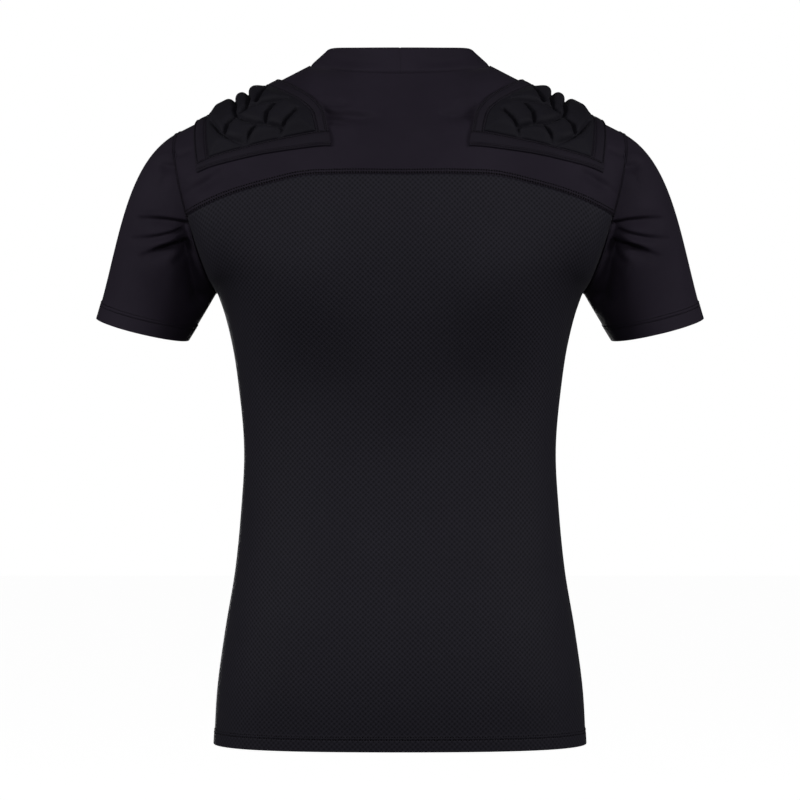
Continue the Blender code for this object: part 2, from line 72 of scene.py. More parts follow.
# %% Camera
CAMERA_DISTANCE = 3.8
CAMERA_HEIGHT = -0.3
CAMERA_LENS = 171.0
bpy.ops.object.camera_add(
    location=(0.0, CAMERA_DISTANCE, CAMERA_HEIGHT),
    rotation=(math.radians(90.0), 0.0, math.radians(180.0)),
)
camera = bpy.context.object
camera.data.lens = CAMERA_LENS
bpy.context.scene.camera = camera
print("camera at", tuple(round(value, 2) for value in camera.location))

# %% [markdown]
# The cut of the top is a few tables in millimetres. The body is a stack of rounded sections from the hem to
# the armpits, and above them the cloth rolls over to the shoulder ridge. They are the sizes of the solids,
# so a finer mesh made from them lies on the same form. A cubic curve through a table's rows gives the
# sizes between them.

# %% Sizes of the body, the shoulders and the neck
HEM_HEIGHT = -643.0
ARMPIT_HEIGHT = -192.0
BODY_COLUMNS = ("height", "half_width", "back_depth", "front_depth", "back_fullness", "front_fullness")
BODY_SECTIONS = (
    (-643.0, 185.5, 101.0, 106.0, 0.30, 0.26),
    (-590.0, 182.5, 108.0, 110.0, 0.30, 0.26),
    (-530.0, 174.5, 107.0, 111.0, 0.28, 0.26),
    (-470.0, 164.5, 98.0, 110.0, 0.26, 0.25),
    (-410.0, 158.5, 88.0, 109.0, 0.24, 0.25),
    (-350.0, 155.5, 84.0, 110.0, 0.24, 0.25),
    (-290.0, 160.5, 92.0, 116.0, 0.25, 0.27),
    (-244.0, 167.5, 103.0, 123.0, 0.26, 0.30),
    (-212.0, 175.5, 111.0, 127.0, 0.28, 0.32),
    (-192.0, 182.5, 115.0, 129.0, 0.30, 0.34),
)
NECK_HALF_WIDTH = 90.0
SHOULDER_HALF_WIDTH = 219.5
NECK_SIDE_HEIGHT = 34.0
SHOULDER_DROP_PER_MM = 0.516
BACK_NECK_DEPTH = 50.0
FRONT_NECK_DEPTH = 80.0
BACK_NECK_HEIGHT = 22.0
FRONT_NECK_HEIGHT = -38.0
NECK_FALL_POWER = 1.3
NECK_SETTLE_POWER = 7.0
ROLL_LENGTH = 1.1
NECK_ROLL_LENGTH = 1.3
ARMHOLE_ROLL_LENGTH = 1.6
ARMHOLE_EDGE_POWER = 5.0
ARMHOLE_LOW_SCOOP = 24.0
ARMHOLE_HIGH_SCOOP = 54.0
BACK_NECK_LEAN = (0.0, -0.84, 0.54)
FRONT_NECK_LEAN = (0.0, 0.62, 0.78)
YOKE_LAP = 2.6
YOKE_SEAM_COLUMNS = ("from_middle", "height")
YOKE_SEAM = (
    (0.0, -78.2), (60.0, -78.0), (95.0, -79.4), (124.0, -85.6),
    (169.0, -98.6), (210.0, -117.0), (240.0, -132.0),
)
print("body sections:", len(BODY_SECTIONS), "hem to shoulder", NECK_SIDE_HEIGHT - HEM_HEIGHT, "mm")


# %% Curves through tables
def hermite(start, start_pull, end, end_pull, share):
    """Cubic from start to end with the given end tangents."""
    square = share * share
    cube = square * share
    return (
        (2.0 * cube - 3.0 * square + 1.0) * start
        + (cube - 2.0 * square + share) * start_pull
        + (3.0 * square - 2.0 * cube) * end
        + (cube - square) * end_pull
    )


def smooth_curve(table, columns, name, where):
    """Cubic curve of a table's named column, read at the given places of its first column."""
    rows = np.array(table)
    order = np.argsort(rows[:, 0])
    knots = rows[order, 0]
    values = rows[order, columns.index(name)]
    slopes = np.gradient(values, knots)
    where = np.clip(where, knots[0], knots[-1])
    low = np.clip(np.searchsorted(knots, where) - 1, 0, len(knots) - 2)
    span = knots[low + 1] - knots[low]
    share = (where - knots[low]) / span
    return hermite(values[low], slopes[low] * span, values[low + 1], slopes[low + 1] * span, share)


def unit(vectors):
    """Vectors at length 1."""
    return vectors / np.maximum(np.linalg.norm(vectors, axis=-1, keepdims=True), 1e-9)


def points(x, y, z):
    """Stack three broadcast coordinates into points."""
    return np.stack(np.broadcast_arrays(x, y, z), axis=-1)


waist = smooth_curve(BODY_SECTIONS, BODY_COLUMNS, "half_width", np.array(-350.0))
print("half width at the waist:", round(float(waist), 1), "mm")

# %% [markdown]
# Below the armpits the body is read straight from its sections. Above them each column of cloth is one
# smooth curve from the armpit level to the shoulder ridge, bowed out at the armhole. Round the neck the
# cloth then settles to the height of the collar seam. Modelling this by hand would mean pulling a
# subdivided cage about; formulas give the same roll at any fineness, on both sides alike.


# %% Body and shoulder surface
def body_row(side, angle, height):
    """Point of the body below the armpits; side is 1 for the back and -1 for the front."""
    name = "back" if side > 0 else "front"
    half_width = smooth_curve(BODY_SECTIONS, BODY_COLUMNS, "half_width", height)
    depth = smooth_curve(BODY_SECTIONS, BODY_COLUMNS, name + "_depth", height)
    fullness = smooth_curve(BODY_SECTIONS, BODY_COLUMNS, name + "_fullness", height)
    around = np.cos(angle) * (1.0 + fullness * np.sin(angle) ** 2)
    return points(half_width * np.sin(angle), side * depth * around, height)


def ridge_height(x):
    """Height of the shoulder ridge: a straight slope each side, rounded over between the neck's sides."""
    x = np.abs(x)
    slope = NECK_SIDE_HEIGHT - SHOULDER_DROP_PER_MM * (x - NECK_HALF_WIDTH)
    cap = 0.5 * SHOULDER_DROP_PER_MM * NECK_HALF_WIDTH
    rounded = NECK_SIDE_HEIGHT + cap * (1.0 - (x / NECK_HALF_WIDTH) ** 2)
    return np.where(x < NECK_HALF_WIDTH, rounded, slope)


def rolled_body(side, angle, share):
    """Point between the armpit row (share 0) and the shoulder ridge (share 1), before the neck settles."""
    angle, share = np.broadcast_arrays(angle, share)
    start = body_row(side, angle, np.full(angle.shape, ARMPIT_HEIGHT))
    below = body_row(side, angle, np.full(angle.shape, ARMPIT_HEIGHT - 1.0))
    ridge_x = SHOULDER_HALF_WIDTH * np.sin(angle)
    end = points(ridge_x, 0.0 * ridge_x, ridge_height(ridge_x))
    edge = (np.abs(np.sin(angle)) ** ARMHOLE_EDGE_POWER)[..., None]
    neck_share = np.clip(np.abs(ridge_x) / NECK_HALF_WIDTH, 0.0, 1.0) ** 2
    neck_share = (neck_share ** 2 * (3.0 - 2.0 * neck_share))[..., None]
    stretch = NECK_ROLL_LENGTH + (ROLL_LENGTH - NECK_ROLL_LENGTH) * neck_share
    stretch = stretch + (ARMHOLE_ROLL_LENGTH - ROLL_LENGTH) * edge
    length = stretch * np.linalg.norm(end - start, axis=-1, keepdims=True)
    scoop = points(np.sign(angle), 0.0 * angle, 0.0 * angle) * edge
    outward = np.array((0.0, float(side), 0.0))
    lean = np.array(BACK_NECK_LEAN if side > 0 else FRONT_NECK_LEAN)
    start_way = unit(unit(start - below) * (1.0 - edge) + outward * edge)
    end_way = unit(lean * (1.0 - neck_share) - outward * neck_share)
    leave = start_way * length + ARMHOLE_LOW_SCOOP * scoop
    arrive = end_way * length - ARMHOLE_HIGH_SCOOP * scoop
    return hermite(start, leave, end, arrive, share[..., None])


shoulder_point = rolled_body(1, np.array(0.5 * math.pi), np.array(1.0))
print("shoulder point:", np.round(shoulder_point, 1))

# %% Neck cut and yoke seam
SEARCH_STEPS = 40
NECK_CORNER = 0.01
SETTLE_SAMPLES = 401


def share_where(surface, side, angle, is_below):
    """Share of an upper surface at which a test on its points stops being true, for each angle."""
    low = np.zeros(np.shape(angle))
    high = np.ones(np.shape(angle))
    for _ in range(SEARCH_STEPS):
        middle = 0.5 * (low + high)
        below = is_below(surface(side, angle, middle))
        low = np.where(below, middle, low)
        high = np.where(below, high, middle)
    return 0.5 * (low + high)


def top_share(side, angle):
    """Share at which the body ends: at the neck opening in the middle, at the ridge beside it."""
    depth = BACK_NECK_DEPTH if side > 0 else FRONT_NECK_DEPTH

    def outside_neck(place):
        return (place[..., 0] / NECK_HALF_WIDTH) ** 2 + (place[..., 1] / depth) ** 2 > 1.0

    beside = np.abs(np.sin(angle)) * SHOULDER_HALF_WIDTH > NECK_HALF_WIDTH - NECK_CORNER
    return np.where(beside, 1.0, share_where(rolled_body, side, angle, outside_neck))


@functools.lru_cache
def neck_settle_table(side):
    """Angles across the body, the share of the top there, and the cloth's settling at the neck seam."""
    corner = math.asin(NECK_HALF_WIDTH / SHOULDER_HALF_WIDTH)
    inside = np.linspace(-corner, corner, SETTLE_SAMPLES)
    angle = np.concatenate(((-0.5 * math.pi,), inside, (0.5 * math.pi,)))
    share = top_share(side, angle)
    place = rolled_body(side, angle, share)
    height = BACK_NECK_HEIGHT if side > 0 else FRONT_NECK_HEIGHT
    turn = np.arcsin(np.clip(place[..., 0] / NECK_HALF_WIDTH, -1.0, 1.0))
    seam = NECK_SIDE_HEIGHT + (height - NECK_SIDE_HEIGHT) * np.cos(turn) ** NECK_FALL_POWER
    settle = np.where(share < 1.0, seam - place[..., 2], 0.0)
    return angle, share, settle


def upper_body(side, angle, share):
    """Point of the upper body, with the cloth round the neck settled to the height of its seam."""
    angle, share = np.broadcast_arrays(angle, share)
    angles, top, settle = neck_settle_table(side)
    reached = np.minimum(share / np.interp(angle, angles, top), 1.0) ** NECK_SETTLE_POWER
    place = rolled_body(side, angle, share)
    place[..., 2] += reached * np.interp(angle, angles, settle)
    return place


def yoke_share(angle):
    """Share at which the yoke seam crosses the back."""

    def under_seam(place):
        seam = smooth_curve(YOKE_SEAM, YOKE_SEAM_COLUMNS, "height", np.abs(place[..., 0]))
        return place[..., 2] < seam - YOKE_LAP

    return share_where(upper_body, 1, angle, under_seam)


print("yoke seam at the middle, share of the roll:", round(float(yoke_share(np.array(0.0))), 3))

# %% [markdown]
# A mesh for cloth needs its points where the shape changes: close together at seams, stitch rows and hems,
# and a few millimetres apart elsewhere. One helper spaces points along a length by a density that rises
# near chosen marks. Rows and columns made this way meet at the seams, so neighbouring panels share edges.

# %% Rows and columns of the panels
NECK_SPREAD = 0.75
DENSITY_SAMPLES = 4001
SEAM_STEP = 0.6
SEAM_REACH = 4.0
CLOTH_STEP = 3.4
YOKE_STEP = 1.8
PLAIN_STEP = 5.0
SIDE_LENGTH = 200.0
BACK_RISE = 120.0
YOKE_RISE = 150.0
FRONT_RISE = 250.0
HEM_ROWS = (12.0, 15.0)


def spaced(length, marks, step):
    """Places along a length: close together near the marks, a plain step apart elsewhere."""
    places = np.linspace(0.0, length, DENSITY_SAMPLES)
    density = np.full(DENSITY_SAMPLES, 1.0 / step)
    for mark in marks:
        density += (1.0 / SEAM_STEP - 1.0 / step) * np.exp(-(((places - mark) / SEAM_REACH) ** 2))
    count = np.concatenate(((0.0,), np.cumsum(0.5 * (density[1:] + density[:-1]) * np.diff(places))))
    return np.interp(np.linspace(0.0, count[-1], int(round(count[-1])) + 1), count, places)


neck_places = spaced(2.0 * NECK_HALF_WIDTH, (NECK_HALF_WIDTH,), CLOTH_STEP) / NECK_HALF_WIDTH - 1.0
neck_sines = np.sin(0.5 * NECK_SPREAD * math.pi * neck_places) / math.sin(0.5 * NECK_SPREAD * math.pi)
neck_turns = np.arcsin(np.clip(neck_sines, -1.0, 1.0))
neck_share = NECK_HALF_WIDTH / SHOULDER_HALF_WIDTH
side_places = spaced(SIDE_LENGTH, (SIDE_LENGTH,), CLOTH_STEP)[1:] / SIDE_LENGTH
side_angles = math.asin(neck_share) + side_places * (0.5 * math.pi - math.asin(neck_share))
neck_angles = np.arcsin(neck_share * np.sin(neck_turns))
across = np.concatenate((-side_angles[::-1], neck_angles, side_angles))[None, :]
hem_marks = (0.0, *HEM_ROWS)
net_heights = HEM_HEIGHT + spaced(ARMPIT_HEIGHT - HEM_HEIGHT, hem_marks, CLOTH_STEP)[:, None]
front_heights = HEM_HEIGHT + spaced(ARMPIT_HEIGHT - HEM_HEIGHT, hem_marks, PLAIN_STEP)[:, None]
net_steps = spaced(BACK_RISE, (BACK_RISE,), CLOTH_STEP)[1:, None] / BACK_RISE
yoke_steps = spaced(YOKE_RISE, (0.0, YOKE_RISE), YOKE_STEP)[:, None] / YOKE_RISE
front_steps = spaced(FRONT_RISE, (FRONT_RISE,), PLAIN_STEP)[1:, None] / FRONT_RISE
print("columns:", across.shape[1])
print("net rows:", len(net_heights) + len(net_steps), "yoke rows:", len(yoke_steps))

# %% Plain forms of the back and the front
seam_share = yoke_share(across)
yoke_shares = seam_share + yoke_steps * (top_share(1, across) - seam_share)
net_form = np.concatenate((body_row(1, across, net_heights), upper_body(1, across, net_steps * seam_share)))
yoke_form = upper_body(1, across, yoke_shares)
back_form = np.concatenate((net_form, yoke_form[1:]))
front_top = upper_body(-1, across, front_steps * top_share(-1, across))
front_form = np.concatenate((body_row(-1, across, front_heights), front_top))
seam_row = len(net_form) - 1
armpit_row = len(net_heights) - 1
front_armpit_row = len(front_heights) - 1
print("back grid:", back_form.shape[:2], "front grid:", front_form.shape[:2])

# %% [markdown]
# The sleeve is a set-in tube. Its first ring is the armhole edge of the body, so it starts on the same
# points, and its last ring is an oval cuff, tipped with the arm. Each lengthwise line between them is one
# smooth curve that leaves the shoulder along its slope and reaches the cuff along the arm.

# %% Plain form of the left sleeve
CUFF_MIDDLE = (258.0, -12.0, -228.7)
CUFF_HALF_WIDTH = 47.3
CUFF_HALF_DEPTH = 52.0
CUFF_ACROSS = (0.9725, 0.0, 0.2325)
CUFF_BACKWARD = (0.0, 0.9934, -0.1150)
SLEEVE_HEAD_WAY = (0.889, 0.0, -0.459)
SLEEVE_HEAD_PULL = 0.90
UNDERARM_WAY = (0.50, 0.0, -0.86)
UNDERARM_PULL = 1.0
OUTER_CUFF_WAY = (0.30, 0.0, -0.954)
INNER_CUFF_WAY = (0.53, 0.0, -0.85)
SLEEVE_SWELL = 0.10
SLEEVE_LENGTH = 150.0
SLEEVE_STEP = 1.4
CUFF_ROWS = (14.0, 17.5)


def loop_turns(loop, back_count):
    """Angles round the cuff for the armhole points: 0 at the underarm, half a turn at the shoulder."""
    steps = np.linalg.norm(np.diff(np.concatenate((loop, loop[:1])), axis=0), axis=1)
    reach = np.concatenate(((0.0,), np.cumsum(steps)))
    top = reach[back_count - 1]
    total = reach[-1]
    reach = reach[:-1]
    return np.where(reach <= top, math.pi * reach / top, math.pi + math.pi * (reach - top) / (total - top))


armhole_back = back_form[armpit_row:, -1]
armhole_front = front_form[front_armpit_row + 1:-1, -1][::-1]
armhole = np.concatenate((armhole_back, armhole_front))
turns = loop_turns(armhole, len(armhole_back))[:, None]
high = 0.5 - 0.5 * np.cos(turns)
cuff = (
    np.array(CUFF_MIDDLE)
    - CUFF_HALF_WIDTH * np.cos(turns) * np.array(CUFF_ACROSS)
    + CUFF_HALF_DEPTH * np.sin(turns) * np.array(CUFF_BACKWARD)
)
chord = np.linalg.norm(cuff - armhole, axis=1, keepdims=True)
swell = SLEEVE_SWELL * np.sin(turns) * np.array((0.0, 1.0, 0.0))
leave = unit(np.array(UNDERARM_WAY) * (1.0 - high) + np.array(SLEEVE_HEAD_WAY) * high + swell)
leave = leave * chord * (UNDERARM_PULL * (1.0 - high) + SLEEVE_HEAD_PULL * high)
arrive = chord * unit(np.array(INNER_CUFF_WAY) * (1.0 - high) + np.array(OUTER_CUFF_WAY) * high)
cuff_marks = tuple(SLEEVE_LENGTH - row for row in (0.0, *CUFF_ROWS))
sleeve_shares = spaced(SLEEVE_LENGTH, (0.0, *cuff_marks), SLEEVE_STEP)[:, None, None] / SLEEVE_LENGTH
sleeve_form = hermite(armhole, leave, cuff, arrive, sleeve_shares)
print("sleeve grid:", sleeve_form.shape[:2], "cuff", round(2.0 * math.pi * CUFF_HALF_DEPTH), "mm round")

# %% [markdown]
# Creases are placed one by one, each a row of one table: where it starts and ends as seen from behind, how
# far it bows, how wide it is above and below its line, and how deep. A fold that hangs over is narrow above
# and wide below. A negative depth is a ridge. The sleeves crease most, where the cloth is pulled from the
# armhole; the yoke creases beside the pads; the net is stretched smooth. Simulated cloth would put creases
# where it liked, so troughs and ridges in the mesh follow the picture better.

# %% Crease tables
CREASE_COLUMNS = (
    "from_x", "from_z", "to_x", "to_z", "bow", "above", "below", "depth", "from_strength", "to_strength",
)
SLEEVE_CREASES = (
    (211.0, -125.5, 255.0, -120.5, 1.0, 1.4, 8.0, 7.0, 1.0, 0.4),
    (236.0, -111.0, 258.0, -112.0, 0.0, 5.0, 4.0, -1.0, 0.4, 0.1),
    (217.0, -133.0, 264.0, -140.0, -2.5, 1.5, 5.0, 4.0, 0.9, 0.3),
    (215.0, -138.0, 248.0, -148.0, -1.5, 3.2, 3.0, -2.0, 0.8, 0.1),
    (211.0, -145.0, 252.0, -156.5, 1.0, 1.8, 10.0, 9.0, 1.0, 0.2),
    (214.0, -158.0, 244.0, -161.0, 1.0, 4.0, 4.0, -1.2, 0.6, 0.0),
    (208.0, -152.0, 227.0, -168.0, -1.0, 2.2, 6.0, 3.4, 1.0, 0.1),
    (209.0, -140.0, 195.0, -198.0, 0.0, 7.0, 12.0, 15.0, 0.7, 0.8),
    (214.0, -158.0, 214.0, -222.0, 2.0, 8.0, 10.0, 1.6, 0.8, 0.1),
    (223.0, -66.0, 240.0, -98.0, 1.0, 3.0, 6.0, 1.4, 0.5, 0.0),
    (222.0, -69.0, 240.0, -68.0, 0.5, 2.6, 7.0, 3.6, 0.9, 0.1),
    (228.0, -58.0, 250.0, -64.0, 1.0, 4.0, 5.0, -1.6, 0.7, 0.1),
)
SLEEVE_FRONT_CREASES = (
    (212.0, -122.0, 252.0, -121.0, 2.0, 2.4, 8.0, 3.2, 1.0, 0.1),
    (214.0, -136.0, 262.0, -147.0, -3.0, 2.6, 7.0, 3.4, 1.0, 0.1),
    (214.0, -131.0, 244.0, -136.0, -1.0, 3.2, 3.2, -1.4, 0.8, 0.1),
    (212.0, -156.0, 232.0, -172.0, -1.0, 2.6, 5.0, 2.2, 1.0, 0.1),
)
BACK_CREASES = (
    (74.0, -9.0, 48.0, -8.0, 0.0, 2.8, 6.0, 4.2, 0.9, 0.0),
    (72.0, -13.0, 22.0, -18.0, -0.8, 2.2, 2.2, -1.2, 0.8, 0.0),
    (73.0, -15.6, 14.0, -23.5, -1.0, 3.2, 8.0, 6.0, 0.9, 0.0),
    (70.0, -18.0, 48.0, -20.0, 0.0, 3.0, 6.0, 2.4, 0.9, 0.0),
    (69.0, -28.0, 50.0, -29.0, 0.0, 2.0, 3.0, 2.0, 0.9, 0.0),
    (-74.0, -9.2, -50.0, -8.0, 0.0, 2.8, 6.0, 3.6, 0.9, 0.0),
    (-74.0, -13.0, -46.0, -13.6, 0.0, 3.0, 6.0, 2.6, 0.9, 0.0),
    (-73.0, -17.0, -34.0, -20.6, -0.6, 3.0, 8.0, 5.4, 0.9, 0.0),
    (178.0, -78.0, 208.0, -97.0, 0.0, 3.0, 8.0, 4.4, 0.7, 0.3),
    (203.0, -78.0, 212.0, -90.0, 0.0, 3.6, 3.6, -1.8, 0.5, 0.3),
    (-182.0, -78.0, -209.0, -95.0, 1.0, 2.6, 7.0, 4.6, 0.7, 0.3),
    (208.0, -54.0, 228.0, -60.0, 0.0, 2.4, 4.0, 2.0, 0.9, 0.4),
    (-208.0, -53.0, -228.0, -61.0, 0.0, 2.4, 4.0, 1.9, 0.9, 0.4),
)
FRONT_CREASES = (
    (79.0, -20.0, 30.0, -34.0, 2.0, 2.0, 4.0, 1.0, 0.9, 0.0),
    (-79.0, -22.0, -36.0, -40.0, 2.0, 2.0, 4.0, 0.9, 0.9, 0.0),
    (206.0, -120.0, 150.0, -150.0, 3.0, 4.0, 8.0, 1.6, 0.9, 0.0),
    (-206.0, -118.0, -158.0, -149.0, 3.0, 4.0, 8.0, 1.5, 0.9, 0.0),
    (196.0, -150.0, 160.0, -176.0, 2.0, 3.0, 6.0, 1.1, 0.9, 0.0),
    (-196.0, -153.0, -152.0, -176.0, 2.0, 3.0, 6.0, 1.0, 0.9, 0.0),
)
print("creases on a sleeve:", len(SLEEVE_CREASES) + len(SLEEVE_FRONT_CREASES), "back:", len(BACK_CREASES))


# %% Crease shape
def ease(share):
    """Smooth step from 0 to 1."""
    share = np.clip(share, 0.0, 1.0)
    return share * share * (3.0 - 2.0 * share)


def crease_lift(place, table):
    """Height that a table's creases add at points, as seen along the depth of the body."""
    lift = np.zeros(place.shape[:-1])
    for row in table:
        crease = dict(zip(CREASE_COLUMNS, row))
        run = np.array((crease["to_x"] - crease["from_x"], crease["to_z"] - crease["from_z"]))
        length = math.hypot(*run)
        way = run / length
        up = np.array((-way[1], way[0])) * (1.0 if way[0] >= 0.0 else -1.0)
        flat = place[..., (0, 2)] - np.array((crease["from_x"], crease["from_z"]))
        along = flat @ way / length
        share = np.clip(along, 0.0, 1.0)
        over = (along - share) * length
        side = flat @ up - crease["bow"] * 4.0 * share * (1.0 - share)
        half = np.where(side > 0.0, crease["above"], crease["below"])
        strength = np.where(
            share < 0.5,
            crease["from_strength"] + (1.0 - crease["from_strength"]) * ease(2.0 * share),
            crease["to_strength"] + (1.0 - crease["to_strength"]) * ease(2.0 - 2.0 * share),
        )
        end_half = 0.5 * (crease["above"] + crease["below"])
        lift -= crease["depth"] * strength * np.exp(-((side / half) ** 2) - (over / end_half) ** 2)
    return lift


print("deepest sleeve trough:", round(float(-crease_lift(sleeve_form, SLEEVE_CREASES).min()), 2), "mm")

# %% [markdown]
# Seams on such a top are flat. At the armholes two edges butt, with a row of stitches on each side. The
# yoke laps over the net and two rows hold it, so its edge stands a little proud and each row bites in.
# Hems and cuffs are turned once, so the cloth is thicker from the edge up to its stitch rows. These are
# heights too, worked out from the distance to the seam along the cloth.

# %% Seam and hem heights
YOKE_ROWS = (1.9, 4.9)
ARMHOLE_FLATLOCK_HALF = 2.0
FLATLOCK_RISE = 0.6
ROW_DENT = 0.5
ROW_DENT_WIDTH = 0.75
SEAM_DENT = 0.8
SEAM_DENT_WIDTH = 0.8
HEM_RISE = 0.7
STEP_SOFTNESS = 0.3
LARGEST_POWER = 40.0


def dent(distance, width):
    """A soft groove, 1 on its line."""
    return np.exp(-((distance / width) ** 2))


def step_down(distance, edge):
    """1 up to an edge and 0 past it, with a soft change."""
    return 1.0 / (1.0 + np.exp(np.clip((distance - edge) / STEP_SOFTNESS, -LARGEST_POWER, LARGEST_POWER)))


def flatlock(distance, half):
    """Height of a flat seam with two stitch rows, by distance from its line."""
    distance = np.abs(distance)
    band = FLATLOCK_RISE * step_down(distance, half + ROW_DENT_WIDTH)
    band = band - ROW_DENT * dent(distance - half, ROW_DENT_WIDTH)
    return band - SEAM_DENT * dent(distance, SEAM_DENT_WIDTH)


def lapped(distance, rows):
    """Height of a lapped seam with stitch rows, by distance past the edge of the cloth on top."""
    band = FLATLOCK_RISE * step_down(distance, rows[-1] + ROW_DENT_WIDTH) * (1.0 - step_down(distance, 0.0))
    for row in rows:
        band = band - ROW_DENT * dent(distance - row, ROW_DENT_WIDTH)
    return band - SEAM_DENT * dent(distance + SEAM_DENT_WIDTH, SEAM_DENT_WIDTH)


def turned_hem(distance, rows):
    """Height of a turned hem with two stitch rows, by distance from its edge."""
    lift = HEM_RISE * step_down(distance, rows[-1] + ROW_DENT_WIDTH)
    for row in rows:
        lift = lift - ROW_DENT * dent(distance - row, ROW_DENT_WIDTH)
    return lift


def run_along(grid, axis):
    """Length of cloth from the first row (axis 0) or column (axis 1) to each point."""
    steps = np.linalg.norm(np.diff(grid, axis=axis), axis=-1)
    first = np.zeros_like(np.take(steps, [0], axis=axis))
    return np.concatenate((first, np.cumsum(steps, axis=axis)), axis=axis)


def from_sides(grid):
    """Distance of each point from the nearer side edge of a grid."""
    run = run_along(grid, 1)
    return np.minimum(run, run[:, -1:] - run)


def grid_normals(grid, towards):
    """Unit normals of a grid, turned to the side on which towards is positive."""
    normals = unit(np.cross(np.gradient(grid, axis=1), np.gradient(grid, axis=0)))
    return normals * np.sign(np.sum(normals * towards))


def tube_normals(grid):
    """Outward unit normals of a grid that closes on itself across its columns."""
    wide = np.concatenate((grid[:, -1:], grid, grid[:, :1]), axis=1)
    return grid_normals(wide, wide - np.mean(grid, axis=1, keepdims=True))[:, 1:-1]


proud = lapped(np.array(0.5 * sum(YOKE_ROWS)), YOKE_ROWS)
print("yoke seam stands", round(float(proud), 2), "mm proud between its rows")

# %% [markdown]
# Now the heights go on the plain forms. Every point moves along its own normal, so troughs, seam bands and
# hems lie across the form wherever it faces.

# %% Back and front with seams and creases
BACKWARD = np.array((0.0, 1.0, 0.0))
PANEL_FACING = 2.0
SLEEVE_FACING = 3.0
BROAD_COLUMNS = ("x", "z", "half_width", "half_height", "depth")
BROAD_HOLLOWS = (
    (94.0, -186.0, 56.0, 46.0, -5.6),
    (-96.0, -188.0, 58.0, 46.0, -5.8),
    (90.0, -290.0, 54.0, 50.0, 5.6),
    (-92.0, -294.0, 56.0, 50.0, 5.8),
    (120.0, -470.0, 30.0, 120.0, 1.4),
    (-118.0, -480.0, 30.0, 110.0, 1.5),
)


def broad_lift(place):
    """Height that the wide soft hollows of the loose net take away."""
    lift = np.zeros(place.shape[:-1])
    for row in BROAD_HOLLOWS:
        hollow = dict(zip(BROAD_COLUMNS, row))
        aside = (place[..., 0] - hollow["x"]) / hollow["half_width"]
        up = (place[..., 2] - hollow["z"]) / hollow["half_height"]
        lift -= hollow["depth"] * np.exp(-(aside ** 2) - up ** 2)
    return lift


ARMPIT_SOFTENING = 60
ARMPIT_ROWS = 6.0
ARMPIT_EDGE_FADE = 25.0
row_numbers = np.arange(len(back_form))[:, None] - armpit_row
soft_share = dent(row_numbers, ARMPIT_ROWS) * ease(from_sides(back_form) / ARMPIT_EDGE_FADE)
for _ in range(ARMPIT_SOFTENING):
    between = 0.5 * (back_form[:-2] + back_form[2:])
    back_form[1:-1] += (between - back_form[1:-1]) * (0.5 * soft_share[1:-1, :, None])
back_normals = grid_normals(back_form, BACKWARD)
back_run = run_along(back_form, 0)
back_lift = lapped(back_run - back_run[seam_row], YOKE_ROWS) + turned_hem(back_run, HEM_ROWS)
back_lift += flatlock(from_sides(back_form), ARMHOLE_FLATLOCK_HALF)
back_folds = crease_lift(back_form, BACK_CREASES) + broad_lift(back_form)
back_lift += back_folds * ease(back_normals[..., 1] * PANEL_FACING)
back_cloth = back_form + back_normals * back_lift[..., None]

front_normals = grid_normals(front_form, -BACKWARD)
front_run = run_along(front_form, 0)
front_lift = turned_hem(front_run, HEM_ROWS) + flatlock(from_sides(front_form), ARMHOLE_FLATLOCK_HALF)
front_lift -= SEAM_DENT * dent(front_run[-1] - front_run, SEAM_DENT_WIDTH)
front_lift += crease_lift(front_form, FRONT_CREASES) * ease(-front_normals[..., 1] * PANEL_FACING)
front_cloth = front_form + front_normals * front_lift[..., None]
print("back heights:", np.round((back_lift.min(), back_lift.max()), 2), "mm")

# %% Left sleeve with seams and creases
sleeve_normals = tube_normals(sleeve_form)
sleeve_run = run_along(sleeve_form, 0)
closed_sleeve = np.concatenate((sleeve_form, sleeve_form[:, :1]), axis=1)
sleeve_lift = flatlock(sleeve_run, ARMHOLE_FLATLOCK_HALF)
sleeve_lift += turned_hem(sleeve_run[-1] - sleeve_run, CUFF_ROWS)
sleeve_lift -= SEAM_DENT * dent(from_sides(closed_sleeve)[:, :-1], SEAM_DENT_WIDTH)
for side, table in ((1.0, SLEEVE_CREASES), (-1.0, SLEEVE_FRONT_CREASES)):
    sleeve_lift += crease_lift(sleeve_form, table) * ease(side * sleeve_normals[..., 1] * SLEEVE_FACING)
sleeve_cloth = sleeve_form + sleeve_normals * sleeve_lift[..., None]
print("sleeve heights:", np.round((sleeve_lift.min(), sleeve_lift.max()), 2), "mm")

# %% [markdown]
# The collar is a low doubled band sewn to the neck edge, with one seam at the middle of the back. It leans
# in towards its top, and dips softly above the neck seam on each side of the middle.

# %% Collar band
COLLAR_HALF_WIDTH = 74.5
COLLAR_SIDE = (-4.0, 52.6)
COLLAR_BACK = (38.0, 49.1)
COLLAR_CORNER = 4.2
COLLAR_CORNER_POWER = 20
COLLAR_FRONT = (-82.0, -15.0)
COLLAR_ROWS = 26
COLLAR_DIP = 3.8
COLLAR_DIP_AT = 0.52
COLLAR_DIP_SPREAD = 0.28
COLLAR_SEAM_DENT = 3.6
COLLAR_SEAM_WIDTH = 2.4
COLLAR_SIDE_SHARE = 0.25
COLLAR_FADE_X = 82.0
COLLAR_FADE = 20.0
COLLAR_DIP_X = 44.0
COLLAR_DIP_HALF_WIDTH = 24.0


def collar_top(side, turn):
    """Top edge of the collar."""
    depth, height = COLLAR_BACK if side > 0 else COLLAR_FRONT
    round_share = np.maximum(np.cos(turn), 0.0)
    corner = COLLAR_CORNER * np.sin(turn) ** COLLAR_CORNER_POWER
    return points(
        COLLAR_HALF_WIDTH * np.sin(turn),
        COLLAR_SIDE[0] + (depth - COLLAR_SIDE[0]) * round_share,
        COLLAR_SIDE[1] + (height - COLLAR_SIDE[1]) * round_share - corner,
    )


